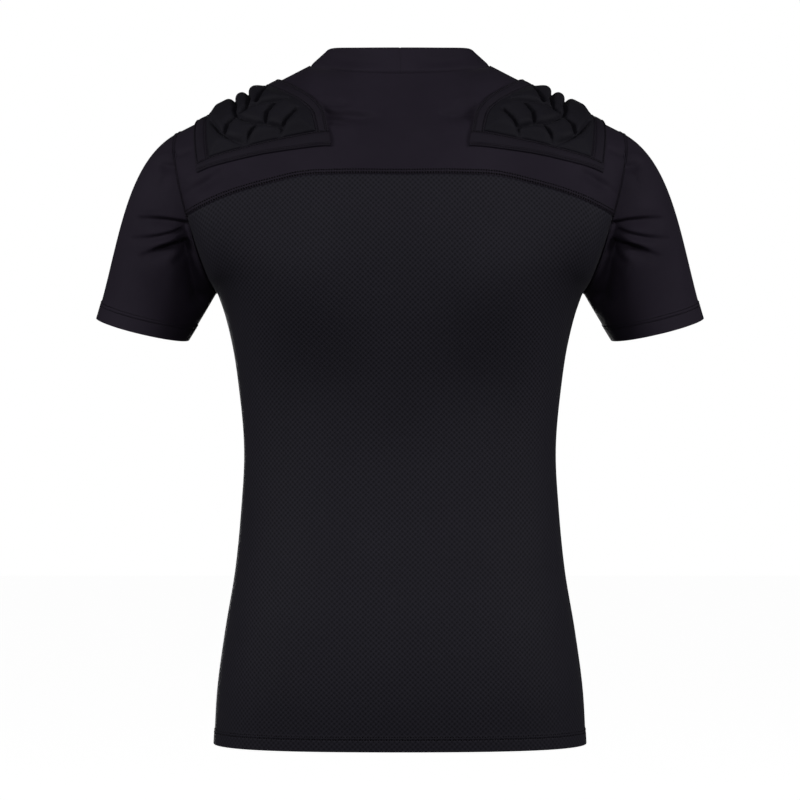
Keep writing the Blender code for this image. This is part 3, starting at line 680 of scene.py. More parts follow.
neck = slice(len(side_angles), len(side_angles) + len(neck_angles))
neck_edge = np.concatenate((back_form[-1, neck][:-1], front_form[-1, neck][::-1][:-1]))
collar_edge = np.concatenate((collar_top(1, neck_turns)[:-1], collar_top(-1, -neck_turns)[:-1]))
collar_shares = np.linspace(0.0, 1.0, COLLAR_ROWS + 1)[:, None, None]
collar_form = neck_edge * (1.0 - collar_shares) + collar_edge * collar_shares
collar_normals = tube_normals(collar_form)
collar_lift = -COLLAR_SEAM_DENT * dent(run_along(collar_form, 0), COLLAR_SEAM_WIDTH)
from_neck_side = ease((COLLAR_FADE_X - np.abs(collar_form[..., 0])) / COLLAR_FADE)
collar_lift *= COLLAR_SIDE_SHARE + (1.0 - COLLAR_SIDE_SHARE) * from_neck_side
behind = (collar_form[..., 1] > 0.0).astype(float)
collar_lift -= SEAM_DENT * behind * dent(collar_form[..., 0], SEAM_DENT_WIDTH)
dip_across = behind * dent(np.abs(collar_form[..., 0]) - COLLAR_DIP_X, COLLAR_DIP_HALF_WIDTH)
collar_lift -= COLLAR_DIP * dip_across * dent(collar_shares[..., 0] - COLLAR_DIP_AT, COLLAR_DIP_SPREAD)
collar_cloth = collar_form + collar_normals * collar_lift[..., None]
print("collar grid:", collar_cloth.shape[:2])

# %% [markdown]
# A shoulder pad lies over the ridge from back to front. Places on it are given by x across the shoulder and
# by the roll over the ridge: how far a point lies behind the ridge plus how far below it, counted negative
# on the front. The strips that frame it follow two short tables in the same measures.

# %% Places on the shoulder
STRIP_WIDTH = 13.0
STRIP_ROLL = 18.0
STRIP_THICKNESS = 2.0
FRAME_OUTER_X = 201.0
FRAME_INNER_COLUMNS = ("share_of_roll", "x")
FRAME_INNER = (
    (0.0, 122.0), (0.26, 112.5), (0.46, 98.5), (0.61, 84.7), (0.73, 75.2), (0.83, 72.2), (1.0, 69.0),
)
FRAME_ROLL_COLUMNS = ("x", "roll")
FRAME_ROLL = ((60.0, 208.0), (98.0, 186.0), (144.0, 161.0), (173.0, 149.5), (206.0, 138.0))
NORMAL_STEP = 0.4


def shoulder_cloth(x, roll):
    """Cloth point at a place across the left shoulder and a roll over its ridge."""
    x, roll = np.broadcast_arrays(np.asarray(x, float), np.asarray(roll, float))
    angle = np.arcsin(np.clip(x / SHOULDER_HALF_WIDTH, -1.0, 1.0))
    place = np.zeros((*x.shape, 3))
    for side in (1, -1):
        here = roll >= 0.0 if side > 0 else roll < 0.0
        wanted = roll[here]

        def rolled_further(found):
            return side * (found[..., 1] - wanted) + ridge_height(found[..., 0]) - found[..., 2] > 0.0

        share = share_where(upper_body, side, angle[here], rolled_further)
        place[here] = upper_body(side, angle[here], share)
    return place


def shoulder_normal(x, roll):
    """Outward normal of the cloth over the left shoulder."""
    step_across = shoulder_cloth(x + NORMAL_STEP, roll) - shoulder_cloth(x - NORMAL_STEP, roll)
    step_over = shoulder_cloth(x, roll - NORMAL_STEP) - shoulder_cloth(x, roll + NORMAL_STEP)
    return unit(np.cross(step_over, step_across))


def frame_roll(x):
    """Roll of the pad frame's lower edge."""
    return smooth_curve(FRAME_ROLL, FRAME_ROLL_COLUMNS, "roll", x)


def frame_inner_x(share):
    """Inner edge of the pad frame at a signed share of its roll."""
    return smooth_curve(FRAME_INNER, FRAME_INNER_COLUMNS, "x", np.abs(share))


middle_roll = frame_roll(0.5 * (FRAME_OUTER_X + NECK_HALF_WIDTH))
strip_share = STRIP_ROLL / middle_roll
print("frame reaches", round(float(middle_roll)), "mm of roll at the back")

# %% [markdown]
# The pad is a sheet of foam cut into rounded blocks under a stretch cover. Between blocks the cover dips
# into grooves. Inflating a simulated cushion loses grooves this narrow, so the blocks are a height over the
# shoulder instead: low along the groove lines, quickly up a rounded wall, then a gentle crown. The groove
# lines are drawn one by one, and the hidden front half gets similar ones.

# %% Groove lines of the pad
RIDGE_GROOVES = (
    ((159.3, 52.4), (162.5, 24.0), (163.5, 0.0), (162.0, -26.0), (158.0, -54.0)),
    ((146.6, 51.5), (149.5, 24.0), (150.5, 0.0), (149.0, -24.0), (145.0, -50.0)),
    ((133.4, 50.3), (130.5, 24.0), (129.5, 0.0), (131.0, -26.0), (135.0, -56.0)),
)
BACK_GROOVES = (
    ((159.3, 52.4), (160.6, 67.4), (159.6, 79.4)),
    ((146.6, 51.5), (148.4, 67.0), (152.0, 78.1)),
    ((133.4, 50.3), (136.9, 61.0), (139.6, 70.0)),
    ((159.6, 79.4), (152.0, 78.1), (144.2, 74.6), (133.6, 79.9), (119.5, 91.9), (110.0, 96.0)),
    ((159.6, 79.4), (152.4, 96.8), (141.5, 114.2), (131.1, 123.6), (116.0, 143.0)),
    ((119.5, 91.9), (124.5, 97.7), (129.6, 103.8), (132.2, 122.0)),
    ((101.8, 126.1), (111.4, 133.3), (116.0, 143.0), (121.3, 160.0)),
    ((160.5, 83.0), (167.8, 90.1), (171.5, 106.0)),
    ((141.5, 115.5), (148.2, 125.5), (152.5, 139.8)),
    (
        (184.0, 56.0), (181.2, 72.1), (175.8, 96.7), (169.6, 113.1),
        (162.4, 125.6), (152.5, 139.8), (146.0, 150.0),
    ),
)
FRONT_SHIFT = 3.0
GROOVE_STEPS = 8


def groove_points(line):
    """Cloth points along a groove line, with the straight runs between its places divided."""
    places = np.array(line)
    where = np.linspace(0.0, len(places) - 1.0, GROOVE_STEPS * (len(places) - 1) + 1)
    knots = np.arange(len(places))
    return shoulder_cloth(np.interp(where, knots, places[:, 0]), np.interp(where, knots, places[:, 1]))


front_grooves = tuple(tuple((x - FRONT_SHIFT, -roll) for x, roll in line) for line in BACK_GROOVES)
grooves = [groove_points(line) for line in RIDGE_GROOVES + BACK_GROOVES + front_grooves]
print("groove lines:", len(grooves))

# %% [markdown]
# A block's height depends on two distances: to the nearest groove line and to the edge of the pad. A
# quarter round gives each block its wall and the pad its rim, and a few rounds of averaging settle the
# tops, as a stretched cover does.

# %% Foam blocks
PAD_STEP_ACROSS = 1.3
PAD_STEP_OVER = 1.5
PAD_LAY = 0.4
PAD_FLOOR = 1.4
GROOVE_HALF = 1.0
BLOCK_RISE = 6.4
BLOCK_ROUND = 6.0
BLOCK_SOFTENING = 8
PAD_EDGE_ROUND = 2.5
PAD_EDGE_HEIGHT = 1.4
PAD_EDGE_SHARE = 0.2
PAD_EDGE_FADE = 13.0
PAD_TUCK = 0.6


def distance_to_lines(place, lines):
    """Distance from each point to the nearest of several lines of points."""
    nearest = np.full(place.shape[:-1], np.inf)
    for line in lines:
        for start, end in zip(line[:-1], line[1:]):
            run = end - start
            share = np.clip((place - start) @ run / (run @ run), 0.0, 1.0)
            nearest = np.minimum(nearest, np.linalg.norm(place - start - share[..., None] * run, axis=-1))
    return nearest


def quarter_round(share):
    """Rise of a rounded edge: steep at 0, level from 1 on."""
    return np.sqrt(1.0 - (1.0 - np.clip(share, 0.0, 1.0)) ** 2)


def softened(height, rounds):
    """A grid of heights, each round averaged with its neighbours."""
    for _ in range(rounds):
        wide = np.pad(height, 1, mode="edge")
        beside = wide[:-2, 1:-1] + wide[2:, 1:-1] + wide[1:-1, :-2] + wide[1:-1, 2:]
        height = 0.5 * height + 0.125 * beside
    return height


pad_columns = int((FRAME_OUTER_X - NECK_HALF_WIDTH) / PAD_STEP_ACROSS)
pad_rows = int(2.0 * middle_roll / PAD_STEP_OVER)
pad_reach = 1.0 - strip_share
over_share = np.linspace(pad_reach, -pad_reach, pad_rows + 1)[:, None]
across_share = np.linspace(0.0, 1.0, pad_columns + 1)[None, :]
pad_start = frame_inner_x(over_share) + STRIP_WIDTH - PAD_TUCK
pad_x = pad_start + (FRAME_OUTER_X - STRIP_WIDTH + PAD_TUCK - pad_start) * across_share
pad_roll = over_share * frame_roll(pad_x)
pad_base = shoulder_cloth(pad_x, pad_roll)
pad_normals = shoulder_normal(pad_x, pad_roll)
to_groove = distance_to_lines(pad_base, grooves)
pad_run = run_along(pad_base, 0)
to_edge = np.minimum(from_sides(pad_base), np.minimum(pad_run, pad_run[-1:] - pad_run))
block = BLOCK_RISE * quarter_round((to_groove - GROOVE_HALF) / BLOCK_ROUND)
from_groove = ease(to_groove / BLOCK_ROUND)
block += (softened(block, BLOCK_SOFTENING) - block) * from_groove
edge_share = PAD_EDGE_SHARE + (1.0 - PAD_EDGE_SHARE) * ease(to_edge / PAD_EDGE_FADE)
pad_height = (PAD_FLOOR - PAD_EDGE_HEIGHT + block * edge_share) * quarter_round(to_edge / PAD_EDGE_ROUND)
pad_height += PAD_EDGE_HEIGHT
pad_top = pad_base + pad_normals * (PAD_LAY + pad_height)[..., None]
pad_bottom = pad_base + pad_normals * PAD_LAY
print("pad grid:", pad_top.shape[:2], "highest block", round(float(pad_height.max()), 1), "mm")

# %% [markdown]
# Each strip is folded jersey sewn flat along both edges. Its edges are round, a stitch row bites in near
# each, and the middle stays slightly full. The strips across the lower back and front run past the ends of
# the other two, so they cover those ends.

# %% Strips round the pad
STRIP_LAY = 0.35
STRIP_EDGE_ROUND = 1.3
STRIP_EDGE_HEIGHT = 0.3
STRIP_ROW = 3.0
STRIP_ROW_DENT = 0.8
STRIP_CROWN = 0.35
STRIP_STEP = 2.6
STRIP_END_OVERLAP = 1.2


def strip_height(distance, width):
    """Height of a folded strip across its width."""
    inside = np.minimum(distance, width - distance)
    edge = quarter_round(inside / STRIP_EDGE_ROUND)
    middle = STRIP_CROWN * ease(inside / (0.5 * width))
    rise = STRIP_EDGE_HEIGHT + (STRIP_THICKNESS - STRIP_EDGE_HEIGHT) * edge + middle
    return rise - STRIP_ROW_DENT * dent(inside - STRIP_ROW, ROW_DENT_WIDTH)


def strip_grids(x, roll, axis):
    """Top and bottom grids of a strip whose width runs along the given axis."""
    base = shoulder_cloth(x, roll)
    normals = shoulder_normal(x, roll)
    run = run_along(base, axis)
    width = np.take(run, [-1], axis=axis)
    height = strip_height(run, width)
    return base + normals * (STRIP_LAY + height)[..., None], base + normals * STRIP_LAY


width_marks = (0.0, STRIP_ROW, STRIP_WIDTH - STRIP_ROW, STRIP_WIDTH)
width_steps = spaced(STRIP_WIDTH, width_marks, STRIP_STEP) / STRIP_WIDTH
strips = {}
for name, side in (("pad_strip_back", 1.0), ("pad_strip_front", -1.0)):
    share = (1.0 - strip_share * width_steps)[:, None]
    count = int((FRAME_OUTER_X - frame_inner_x(1.0)) / STRIP_STEP)
    length_steps = np.linspace(0.0, 1.0, count + 1)[None, :]
    start = frame_inner_x(share)
    x = start + (FRAME_OUTER_X - start) * length_steps
    strips[name] = (strip_grids(x, side * share * frame_roll(x), 0), 0)
side_share = 1.0 - strip_share + STRIP_END_OVERLAP / middle_roll
share = np.linspace(side_share, -side_share, int(2.0 * middle_roll / STRIP_STEP) + 1)[:, None]
side_starts = {"pad_strip_inner": frame_inner_x(share), "pad_strip_outer": FRAME_OUTER_X - STRIP_WIDTH}
for name, start in side_starts.items():
    x = start + STRIP_WIDTH * width_steps[None, :] + 0.0 * share
    strips[name] = (strip_grids(x, share * frame_roll(x), 1), 1)
print("strips:", ", ".join(strips))

# %% [markdown]
# A piece of cloth is a closed wall: an outer and an inner grid joined round the edges. It also carries a
# map of its own lengths in millimetres, so that knit and net can follow the cloth round the body instead
# of being projected through it.

# %% Make a wall of cloth
CLOTH_WALL = 1.5
COLLAR_WALL = 2.2
SHARP_ANGLE = math.radians(55.0)
MAP_NAME = "cloth_mm"
pieces = {}


def grid_quads(index):
    """The four corners of every cell of an index grid."""
    corners = (index[:-1, :-1], index[:-1, 1:], index[1:, 1:], index[1:, :-1])
    return np.stack(corners, axis=2).reshape(-1, 4, *index.shape[2:])


def wall(name, outer, inner, closed_round):
    """Closed wall between two grids, as a named piece with a map of its lengths."""
    if closed_round:
        lengths = np.concatenate((outer, outer[:, :1]), axis=1)
    else:
        lengths = outer
    around = run_along(lengths, 1)
    around = around - around[:, around.shape[1] // 2][:, None]
    lengths = np.stack((around, run_along(lengths, 0)), axis=-1)
    rows, columns = outer.shape[:2]
    index = np.arange(rows * columns).reshape(rows, columns)
    if closed_round:
        index = np.concatenate((index, index[:, :1]), axis=1)
    inside = index + rows * columns
    bands = [(index, lengths), (inside[:, ::-1], lengths[:, ::-1])]
    for row, way in ((0, -1), (-1, 1)):
        pair = (index[row], inside[row])[::way]
        bands.append((np.stack(pair[::-1]), np.stack((lengths[row], lengths[row]))))
    if not closed_round:
        for column, way in ((0, 1), (-1, -1)):
            pair = (index[:, column], inside[:, column])[::way]
            bands.append((np.stack(pair[::-1]), np.stack((lengths[:, column], lengths[:, column]))))
    faces = np.concatenate([grid_quads(band) for band, _ in bands])
    corners = np.concatenate([grid_quads(size) for _, size in bands])
    mesh = bpy.data.meshes.new(name)
    mesh.from_pydata(np.concatenate((outer.reshape(-1, 3), inner.reshape(-1, 3))) * MM, [], faces)
    layer = mesh.uv_layers.new(name=MAP_NAME)
    layer.uv.foreach_set("vector", corners.astype(np.float32).ravel())
    add_piece(name, mesh)
    mesh.set_sharp_from_angle(angle=SHARP_ANGLE)


def add_piece(name, mesh):
    """Point all faces of a closed mesh outwards, shade it smooth and keep it as a named piece."""
    work = bmesh.new()
    work.from_mesh(mesh)
    bmesh.ops.recalc_face_normals(work, faces=work.faces[:])
    work.to_mesh(mesh)
    work.free()
    mesh.shade_smooth()
    piece = bpy.data.objects.new(name, mesh)
    bpy.context.scene.collection.objects.link(piece)
    pieces[name] = piece


def mirrored(grid):
    """The same grid on the wearer's right."""
    return grid * np.array((-1.0, 1.0, 1.0))


def wall_pair(name, outer, inner, closed_round):
    """A wall on the wearer's left and its twin on the right."""
    wall(name + "_left", outer, inner, closed_round)
    wall(name + "_right", mirrored(outer), mirrored(inner), closed_round)


# %% [markdown]
# The panels take their outer faces from the heights above and their inner faces a cloth's thickness
# further in. The net and the yoke share the points of their seam. Right-hand pieces mirror the left ones.

# %% Panels, sleeves and collar
net_cloth = back_cloth[:seam_row + 1]
yoke_cloth = back_cloth[seam_row:]
back_inner = back_cloth - back_normals * CLOTH_WALL
wall("net_back", net_cloth, back_inner[:seam_row + 1], False)
wall("yoke", yoke_cloth, back_inner[seam_row:], False)
wall("front", front_cloth, front_cloth - front_normals * CLOTH_WALL, False)
wall_pair("sleeve", sleeve_cloth, sleeve_cloth - sleeve_normals * CLOTH_WALL, True)
wall("collar_band", collar_cloth, collar_cloth - collar_normals * COLLAR_WALL, True)
for piece in pieces.values():
    print(piece.name, len(piece.data.polygons), "faces")

# %% Pads and strips on both shoulders
wall_pair("pad", pad_top, pad_bottom, False)
for name, ((top, bottom), _) in strips.items():
    wall_pair(name, top, bottom, False)
print("pad faces:", len(pieces["pad_left"].data.polygons), "strip pieces:", 2 * len(strips))

# %% [markdown]
# Stitches are what makes cloth read as sewn. Each is a short bar of thread that dives into the cloth at
# both ends, beside a small dark solid that paints the shade in its needle hole. Two rows hold the yoke
# seam, with cover threads slanting between them; a row runs on each side of an armhole and along each edge
# of a strip; two rows hold each hem and cuff. All stitches of a seam are one mesh, made from arrays, with
# about two dozen faces a stitch.

# %% Thread bars
THREAD_RADIUS = 0.34
HOLE_RADIUS = 0.6
YOKE_HOLE_RADIUS = 0.95
HOLE_HEIGHT = 0.3
STITCH_PITCH = 2.6
STITCH_LENGTH = 1.6
BAR_SHARES = np.array((0.0, 0.25, 0.75, 1.0))
BAR_LIFTS = np.array((-0.30, 0.16, 0.16, -0.30))
BAR_WIDTHS = np.array((0.5, 1.0, 1.0, 0.5))
HOLE_CORNERS = np.array((
    (0, 1, 4), (1, 2, 4), (2, 3, 4), (3, 0, 4),
    (1, 0, 5), (2, 1, 5), (3, 2, 5), (0, 3, 5),
))


def line_at(grid, normals, distance):
    """Points and normals along a grid's rows at a distance from its first row."""
    run = run_along(grid, 0)
    high_row = np.clip(np.sum(run < distance, axis=0), 1, len(run) - 1)
    column = np.arange(grid.shape[1])
    low = run[high_row - 1, column]
    share = ((distance - low) / (run[high_row, column] - low))[:, None]
    place = grid[high_row - 1, column] * (1.0 - share) + grid[high_row, column] * share
    return place, normals[high_row, column]


def read_line(line, where):
    """Points and normals at lengths along a line."""
    place, normals = line
    run = run_along(place, 0)

    def read(values):
        return np.stack([np.interp(where, run, values[:, axis]) for axis in range(3)], axis=-1)

    return read(place), unit(read(normals))


def row_stitches(line):
    """Starts, ends and normals of the stitches of a row along a line."""
    length = run_along(line[0], 0)[-1]
    begin = np.arange(0.5 * (STITCH_PITCH - STITCH_LENGTH), length - STITCH_LENGTH, STITCH_PITCH)
    start, normal = read_line(line, begin)
    end, _ = read_line(line, begin + STITCH_LENGTH)
    return start, end, normal


def cover_stitches(low_line, high_line):
    """Slanting threads between two rows."""
    length = min(run_along(low_line[0], 0)[-1], run_along(high_line[0], 0)[-1])
    begin = np.arange(0.0, length - STITCH_PITCH, STITCH_PITCH)
    start, normal = read_line(low_line, begin)
    end, _ = read_line(high_line, begin + 0.5 * STITCH_PITCH)
    return start, end, normal


def thread_piece(name, stitches, hole_radius=HOLE_RADIUS):
    """All given stitches as one mesh of small bars, each with a small dark solid before it, painted shade
    in its needle hole.
    """
    start, end, normal = (np.concatenate(parts) for parts in zip(*stitches))
    way = unit(end - start)
    side = unit(np.cross(way, normal))
    middle = start[:, None] + (end - start)[:, None] * BAR_SHARES[None, :, None]
    middle = middle + normal[:, None] * BAR_LIFTS[None, :, None]
    spread = (THREAD_RADIUS * BAR_WIDTHS)[None, :, None]
    ring = np.stack((
        middle + side[:, None] * spread, middle + normal[:, None] * spread,
        middle - side[:, None] * spread, middle - normal[:, None] * spread,
    ), axis=2)
    count = len(start)
    index = np.arange(count * 16).reshape(count, 4, 4)
    beside = np.roll(index, -1, axis=2)
    sides = np.stack((index[:, :-1], beside[:, :-1], beside[:, 1:], index[:, 1:]), axis=-1).reshape(-1, 4)
    caps = np.concatenate((index[:, 0, ::-1], index[:, -1]))
    # A small dark solid at each needle hole: painted shade for the dark inside of the hole.
    hole = start - way * (0.5 * (STITCH_PITCH - STITCH_LENGTH)) + normal * HOLE_HEIGHT
    tips = np.stack((
        hole + way * hole_radius, hole + side * hole_radius,
        hole - way * hole_radius, hole - side * hole_radius,
        hole + normal * HOLE_HEIGHT, hole - normal * HOLE_HEIGHT,
    ), axis=1)
    hole_index = count * 16 + np.arange(count * 6).reshape(count, 6)
    hole_faces = hole_index[:, HOLE_CORNERS].reshape(-1, 3)
    faces = np.concatenate((sides, caps)).tolist() + hole_faces.tolist()
    mesh = bpy.data.meshes.new(name)
    mesh.from_pydata(np.concatenate((ring.reshape(-1, 3), tips.reshape(-1, 3))) * MM, [], faces)
    # The dark solids take the second material, the painted shade of the needle holes.
    dark = np.zeros(len(faces), dtype=np.int32)
    dark[-len(hole_faces):] = 1
    mesh.polygons.foreach_set("material_index", dark)
    add_piece(name, mesh)
    print(name, count, "stitches")


# %% Stitches of the yoke seam, hems and cuffs
def flipped(grid):
    """A grid with its last row first."""
    return grid[::-1]


net_normals = back_normals[:seam_row + 1]
yoke_normals = back_normals[seam_row:]
low_row, high_row = (line_at(yoke_cloth, yoke_normals, row) for row in YOKE_ROWS)
yoke_rows = [row_stitches(low_row), row_stitches(high_row), cover_stitches(low_row, high_row)]
thread_piece("yoke_stitches", yoke_rows, YOKE_HOLE_RADIUS)
hem_lines = [line_at(net_cloth, net_normals, row) for row in HEM_ROWS]
hem_lines += [line_at(front_cloth, front_normals, row) for row in HEM_ROWS]
thread_piece("hem_stitches", [row_stitches(line) for line in hem_lines])


def stitches_both_sides(name, lines):
    """Rows of stitches along lines on the wearer's left, and their twins on the right."""
    thread_piece(name + "_left", [row_stitches(line) for line in lines])
    twins = [tuple(mirrored(part) for part in line) for line in lines]
    thread_piece(name + "_right", [row_stitches(line) for line in twins])


def closed(line):
    """A line round a tube, with its first point again at its end."""
    return tuple(np.concatenate((part, part[:1])) for part in line)


cuff_lines = [closed(line_at(flipped(sleeve_cloth), flipped(sleeve_normals), row)) for row in CUFF_ROWS]
armhole_lines = [closed(line_at(sleeve_cloth, sleeve_normals, ARMHOLE_FLATLOCK_HALF))]
armhole_sides = (
    (back_cloth, back_normals, armpit_row),
    (front_cloth, front_normals, front_armpit_row),
)
for grid, normals, first in armhole_sides:
    edge_grid = np.swapaxes(grid[first:], 0, 1)[::-1]
    edge_normals = np.swapaxes(normals[first:], 0, 1)[::-1]
    armhole_lines.append(line_at(edge_grid, edge_normals, ARMHOLE_FLATLOCK_HALF))
stitches_both_sides("cuff_stitches", cuff_lines)
stitches_both_sides("armhole_stitches", armhole_lines)

# %% Stitches of the strips
strip_lines = []
for (top, bottom), axis in strips.values():
    grid = np.swapaxes(top, 0, 1) if axis == 1 else top
    normals = unit(grid - (np.swapaxes(bottom, 0, 1) if axis == 1 else bottom))
    strip_lines.append(line_at(grid, normals, STRIP_ROW))
    strip_lines.append(line_at(flipped(grid), flipped(normals), STRIP_ROW))
stitches_both_sides("strip_stitches", strip_lines)

# %% [markdown]
# Shader maths reads best as plain expressions, so a small class wraps a socket and turns sums and products
# into Math nodes. One method adds every other node: its type, its settings, then its sockets.


# %% Shader expressions
class Wire:
    """A shader socket that takes part in Python expressions."""

    def __init__(self, tree, socket):
        self.tree = tree
        self.socket = socket

    def add_node(self, kind, settings=(), sockets=(), output=0):
        """Add a node: its type, its settings, then values or links for its sockets."""
        node = self.tree.nodes.new(kind)
        for name, value in dict(settings).items():
            setattr(node, name, value)
        for name, value in dict(sockets).items():
            if isinstance(value, Wire):
                self.tree.links.new(value.socket, node.inputs[name])
            else:
                node.inputs[name].default_value = value
        return Wire(self.tree, node.outputs[output])

    def math(self, operation, *values):
        return self.add_node("ShaderNodeMath", {"operation": operation}, dict(enumerate((self, *values))))

    def reflected(self, operation, value):
        return self.add_node("ShaderNodeMath", {"operation": operation}, {0: value, 1: self})

    def __add__(self, other):
        return self.math("ADD", other)

    __radd__ = __add__

    def __mul__(self, other):
        return self.math("MULTIPLY", other)

    __rmul__ = __mul__

    def __sub__(self, other):
        return self.math("SUBTRACT", other)

    def __rsub__(self, other):
        return self.reflected("SUBTRACT", other)

    def ramp(self, low, high):
        """0 below low, 1 above high, smooth between."""
        return self.add_node(
            "ShaderNodeMapRange", {"interpolation_type": "SMOOTHSTEP"},
            {"Value": self, "From Min": low, "From Max": high},
        )

    def mix(self, low_colour, high_colour):
        """A colour between two, by this value."""
        sockets = {0: self, 6: (*low_colour, 1.0), 7: (*high_colour, 1.0)}
        return self.add_node("ShaderNodeMix", {"data_type": "RGBA"}, sockets, output=2)

    def bump(self, height_mm):
        """A normal from this value as a height of so many millimetres."""
        sockets = {"Height": self, "Distance": height_mm * MM, "Strength": 1.0}
        return self.add_node("ShaderNodeBump", {}, sockets)


SPECULAR = 0.06
SHEEN_ROUGHNESS = 0.3


def new_material(name, roughness, sheen):
    """A cloth material, with wires for the map along the cloth and for a broad soft noise."""
    material = bpy.data.materials.new(name)
    material.use_nodes = True
    tree = material.node_tree
    shader = tree.nodes["Principled BSDF"]
    shader.inputs["Roughness"].default_value = roughness
    shader.inputs["Specular IOR Level"].default_value = SPECULAR
    shader.inputs["Sheen Weight"].default_value = sheen
    shader.inputs["Sheen Roughness"].default_value = SHEEN_ROUGHNESS
    start = Wire(tree, None)
    cloth_map = start.add_node("ShaderNodeUVMap", {"uv_map": MAP_NAME})
    split = start.add_node("ShaderNodeSeparateXYZ", {}, {0: cloth_map})
    along_cloth = split, Wire(tree, split.socket.node.outputs[1])
    place = start.add_node("ShaderNodeTexCoord", output=3)
    return material, shader, along_cloth, place


def broad_noise(place, scale, detail):
    """A soft noise over the object, about 0 to 1."""
    return place.add_node("ShaderNodeTexNoise", {}, {"Vector": place, "Scale": scale, "Detail": detail})


def connect(shader, **wires):
    """Feed wires to a shader's sockets by name, with underscores for spaces."""
    for name, wire in wires.items():
        wire.tree.links.new(wire.socket, shader.inputs[name.replace("_", " ")])


print("materials are made of expressions")

# %% [markdown]
# The jersey is a fine weft knit: rows of small stitches with a soft sheen. At arm's length only a slight
# grain is left, so the knit is a small bump of wales and courses from the cloth's own map, with a broad
# unevenness in tone. The knit also tints the tone a little, as painted shade in its dips and painted light
# on its wales. The strips and the pad covers are the same knit, a little darker and tighter.

# %% Jersey, strip, pad cover and thread
KNIT_WALE = 0.85
KNIT_COURSE = 0.65
TONE_NOISE = (14.0, 3.0)
GRAIN_NOISE = (420.0, 2.0)
# Name, dark tone, light tone, roughness, sheen and depth of the knit in millimetres
KNITS = {
    "jersey": ("jersey_knit", (0.0125, 0.0098, 0.0160), (0.0165, 0.0132, 0.0208), 0.72, 0.012, 0.06),
    "strip": ("strip_knit", (0.0102, 0.0084, 0.0130), (0.0135, 0.0112, 0.0168), 0.70, 0.012, 0.05),
    "pad_cover": ("pad_knit", (0.0078, 0.0072, 0.0102), (0.0106, 0.0098, 0.0136), 0.66, 0.012, 0.05),
    # Needle holes: near-black painted shade for the inside of each hole.
    "needle_hole_shade": ("needle_hole_shade", (0.0012, 0.0011, 0.0014), (0.0020, 0.0018, 0.0022), 0.8, 0.0, 0.02),
    "thread": ("thread_twist", (0.0140, 0.0120, 0.0168), (0.0185, 0.0160, 0.0215), 0.42, 0.02, 0.02),
}


def knit_height(along_cloth):
    """Height of a fine weft knit, 0 to 1: wales side by side, with a short course on each."""
    across_mm, up_mm = along_cloth
    wale = (across_mm * (2.0 * math.pi / KNIT_WALE)).math("SINE")
    leg = (across_mm * (math.pi / KNIT_WALE)).math("SINE").math("ABSOLUTE")
    course = ((up_mm + 0.35 * leg) * (2.0 * math.pi / KNIT_COURSE)).math("SINE")
    return 0.5 + 0.25 * wale + 0.25 * course


def knit_material(name, dark, light, roughness, sheen, depth):
    """A fine knit in two near tones."""
    material, shader, along_cloth, place = new_material(name, roughness, sheen)
    knit = knit_height(along_cloth)
    # Tone: broad random unevenness, plus the knit's height as painted shade in its dips and painted light
    # on its wales.
    tone_and_painted_shading = 0.7 * broad_noise(place, *TONE_NOISE).ramp(0.3, 0.7) + 0.3 * knit
    uneven = broad_noise(place, *GRAIN_NOISE)
    connect(shader, Base_Color=tone_and_painted_shading.mix(dark, light), Normal=(knit + 0.5 * uneven).bump(depth))
    return material


materials = {slot: knit_material(*row) for slot, row in KNITS.items()}
print("knit materials:", ", ".join(materials))

# %% [markdown]
# The net is an open warp knit: small eyelets in staggered rows, with threads that gather into knuckles
# between them. A hole through so fine a net would only show the shaded inside, so the eyelets are painted
# shade in tone and dark pits in bump, and the knuckles are painted highlight in tone. Both are charted from
# the cloth's own map, and the panel stays one closed wall.

# %% Net
NET_ACROSS = 5.1
NET_UP = 5.1
NET_GRAIN_NOISE = (240.0, 2.0)
NET_TONE_NOISE = (12.0, 3.0)
# Tone of the eyelets, painted shade, and of the knuckles, painted highlight.
NET_EYELET_SHADE = (0.0084, 0.0079, 0.0110)
NET_KNUCKLE_HIGHLIGHT = (0.0180, 0.0168, 0.0232)
NET_DEPTH = 0.22


def net_material():
    """Staggered eyelets in painted shade, with knuckles in painted highlight between them."""
    material, shader, along_cloth, place = new_material("open_net", 0.66, 0.03)
    across_mm, up_mm = along_cloth
    across_turn = across_mm * (2.0 * math.pi / NET_ACROSS)
    up_turn = up_mm * (2.0 * math.pi / NET_UP)
    eyelets = across_turn.math("COSINE") * up_turn.math("COSINE")
    fine = (2.0 * across_turn).math("COSINE") * 0.16 + (2.0 * up_turn).math("COSINE") * 0.10
    uneven = broad_noise(place, *NET_GRAIN_NOISE)
    weave = eyelets + fine + 0.5 * (uneven - 0.5)
    # Eyelets as painted shade, and knuckles as painted highlight between them.
    hole = weave.ramp(0.15, 0.85)
    knuckle_highlight = (0.0 - weave).ramp(0.1, 0.9)
    thread = 0.5 * (1.0 - hole) + 0.5 * knuckle_highlight
    tone_and_painted_shading = thread * (0.75 + 0.5 * broad_noise(place, *NET_TONE_NOISE))
    connect(shader, Base_Color=tone_and_painted_shading.mix(NET_EYELET_SHADE, NET_KNUCKLE_HIGHLIGHT), Normal=thread.bump(NET_DEPTH))
    return material


materials["net"] = net_material()
print("net eyelets every", NET_ACROSS, "by", NET_UP, "mm, staggered")

# %% [markdown]
# Each piece is attached to the root and takes its material; where it stands for a solid, that solid is
# hidden. Stitches take the thread, and at their needle holes the painted shade.

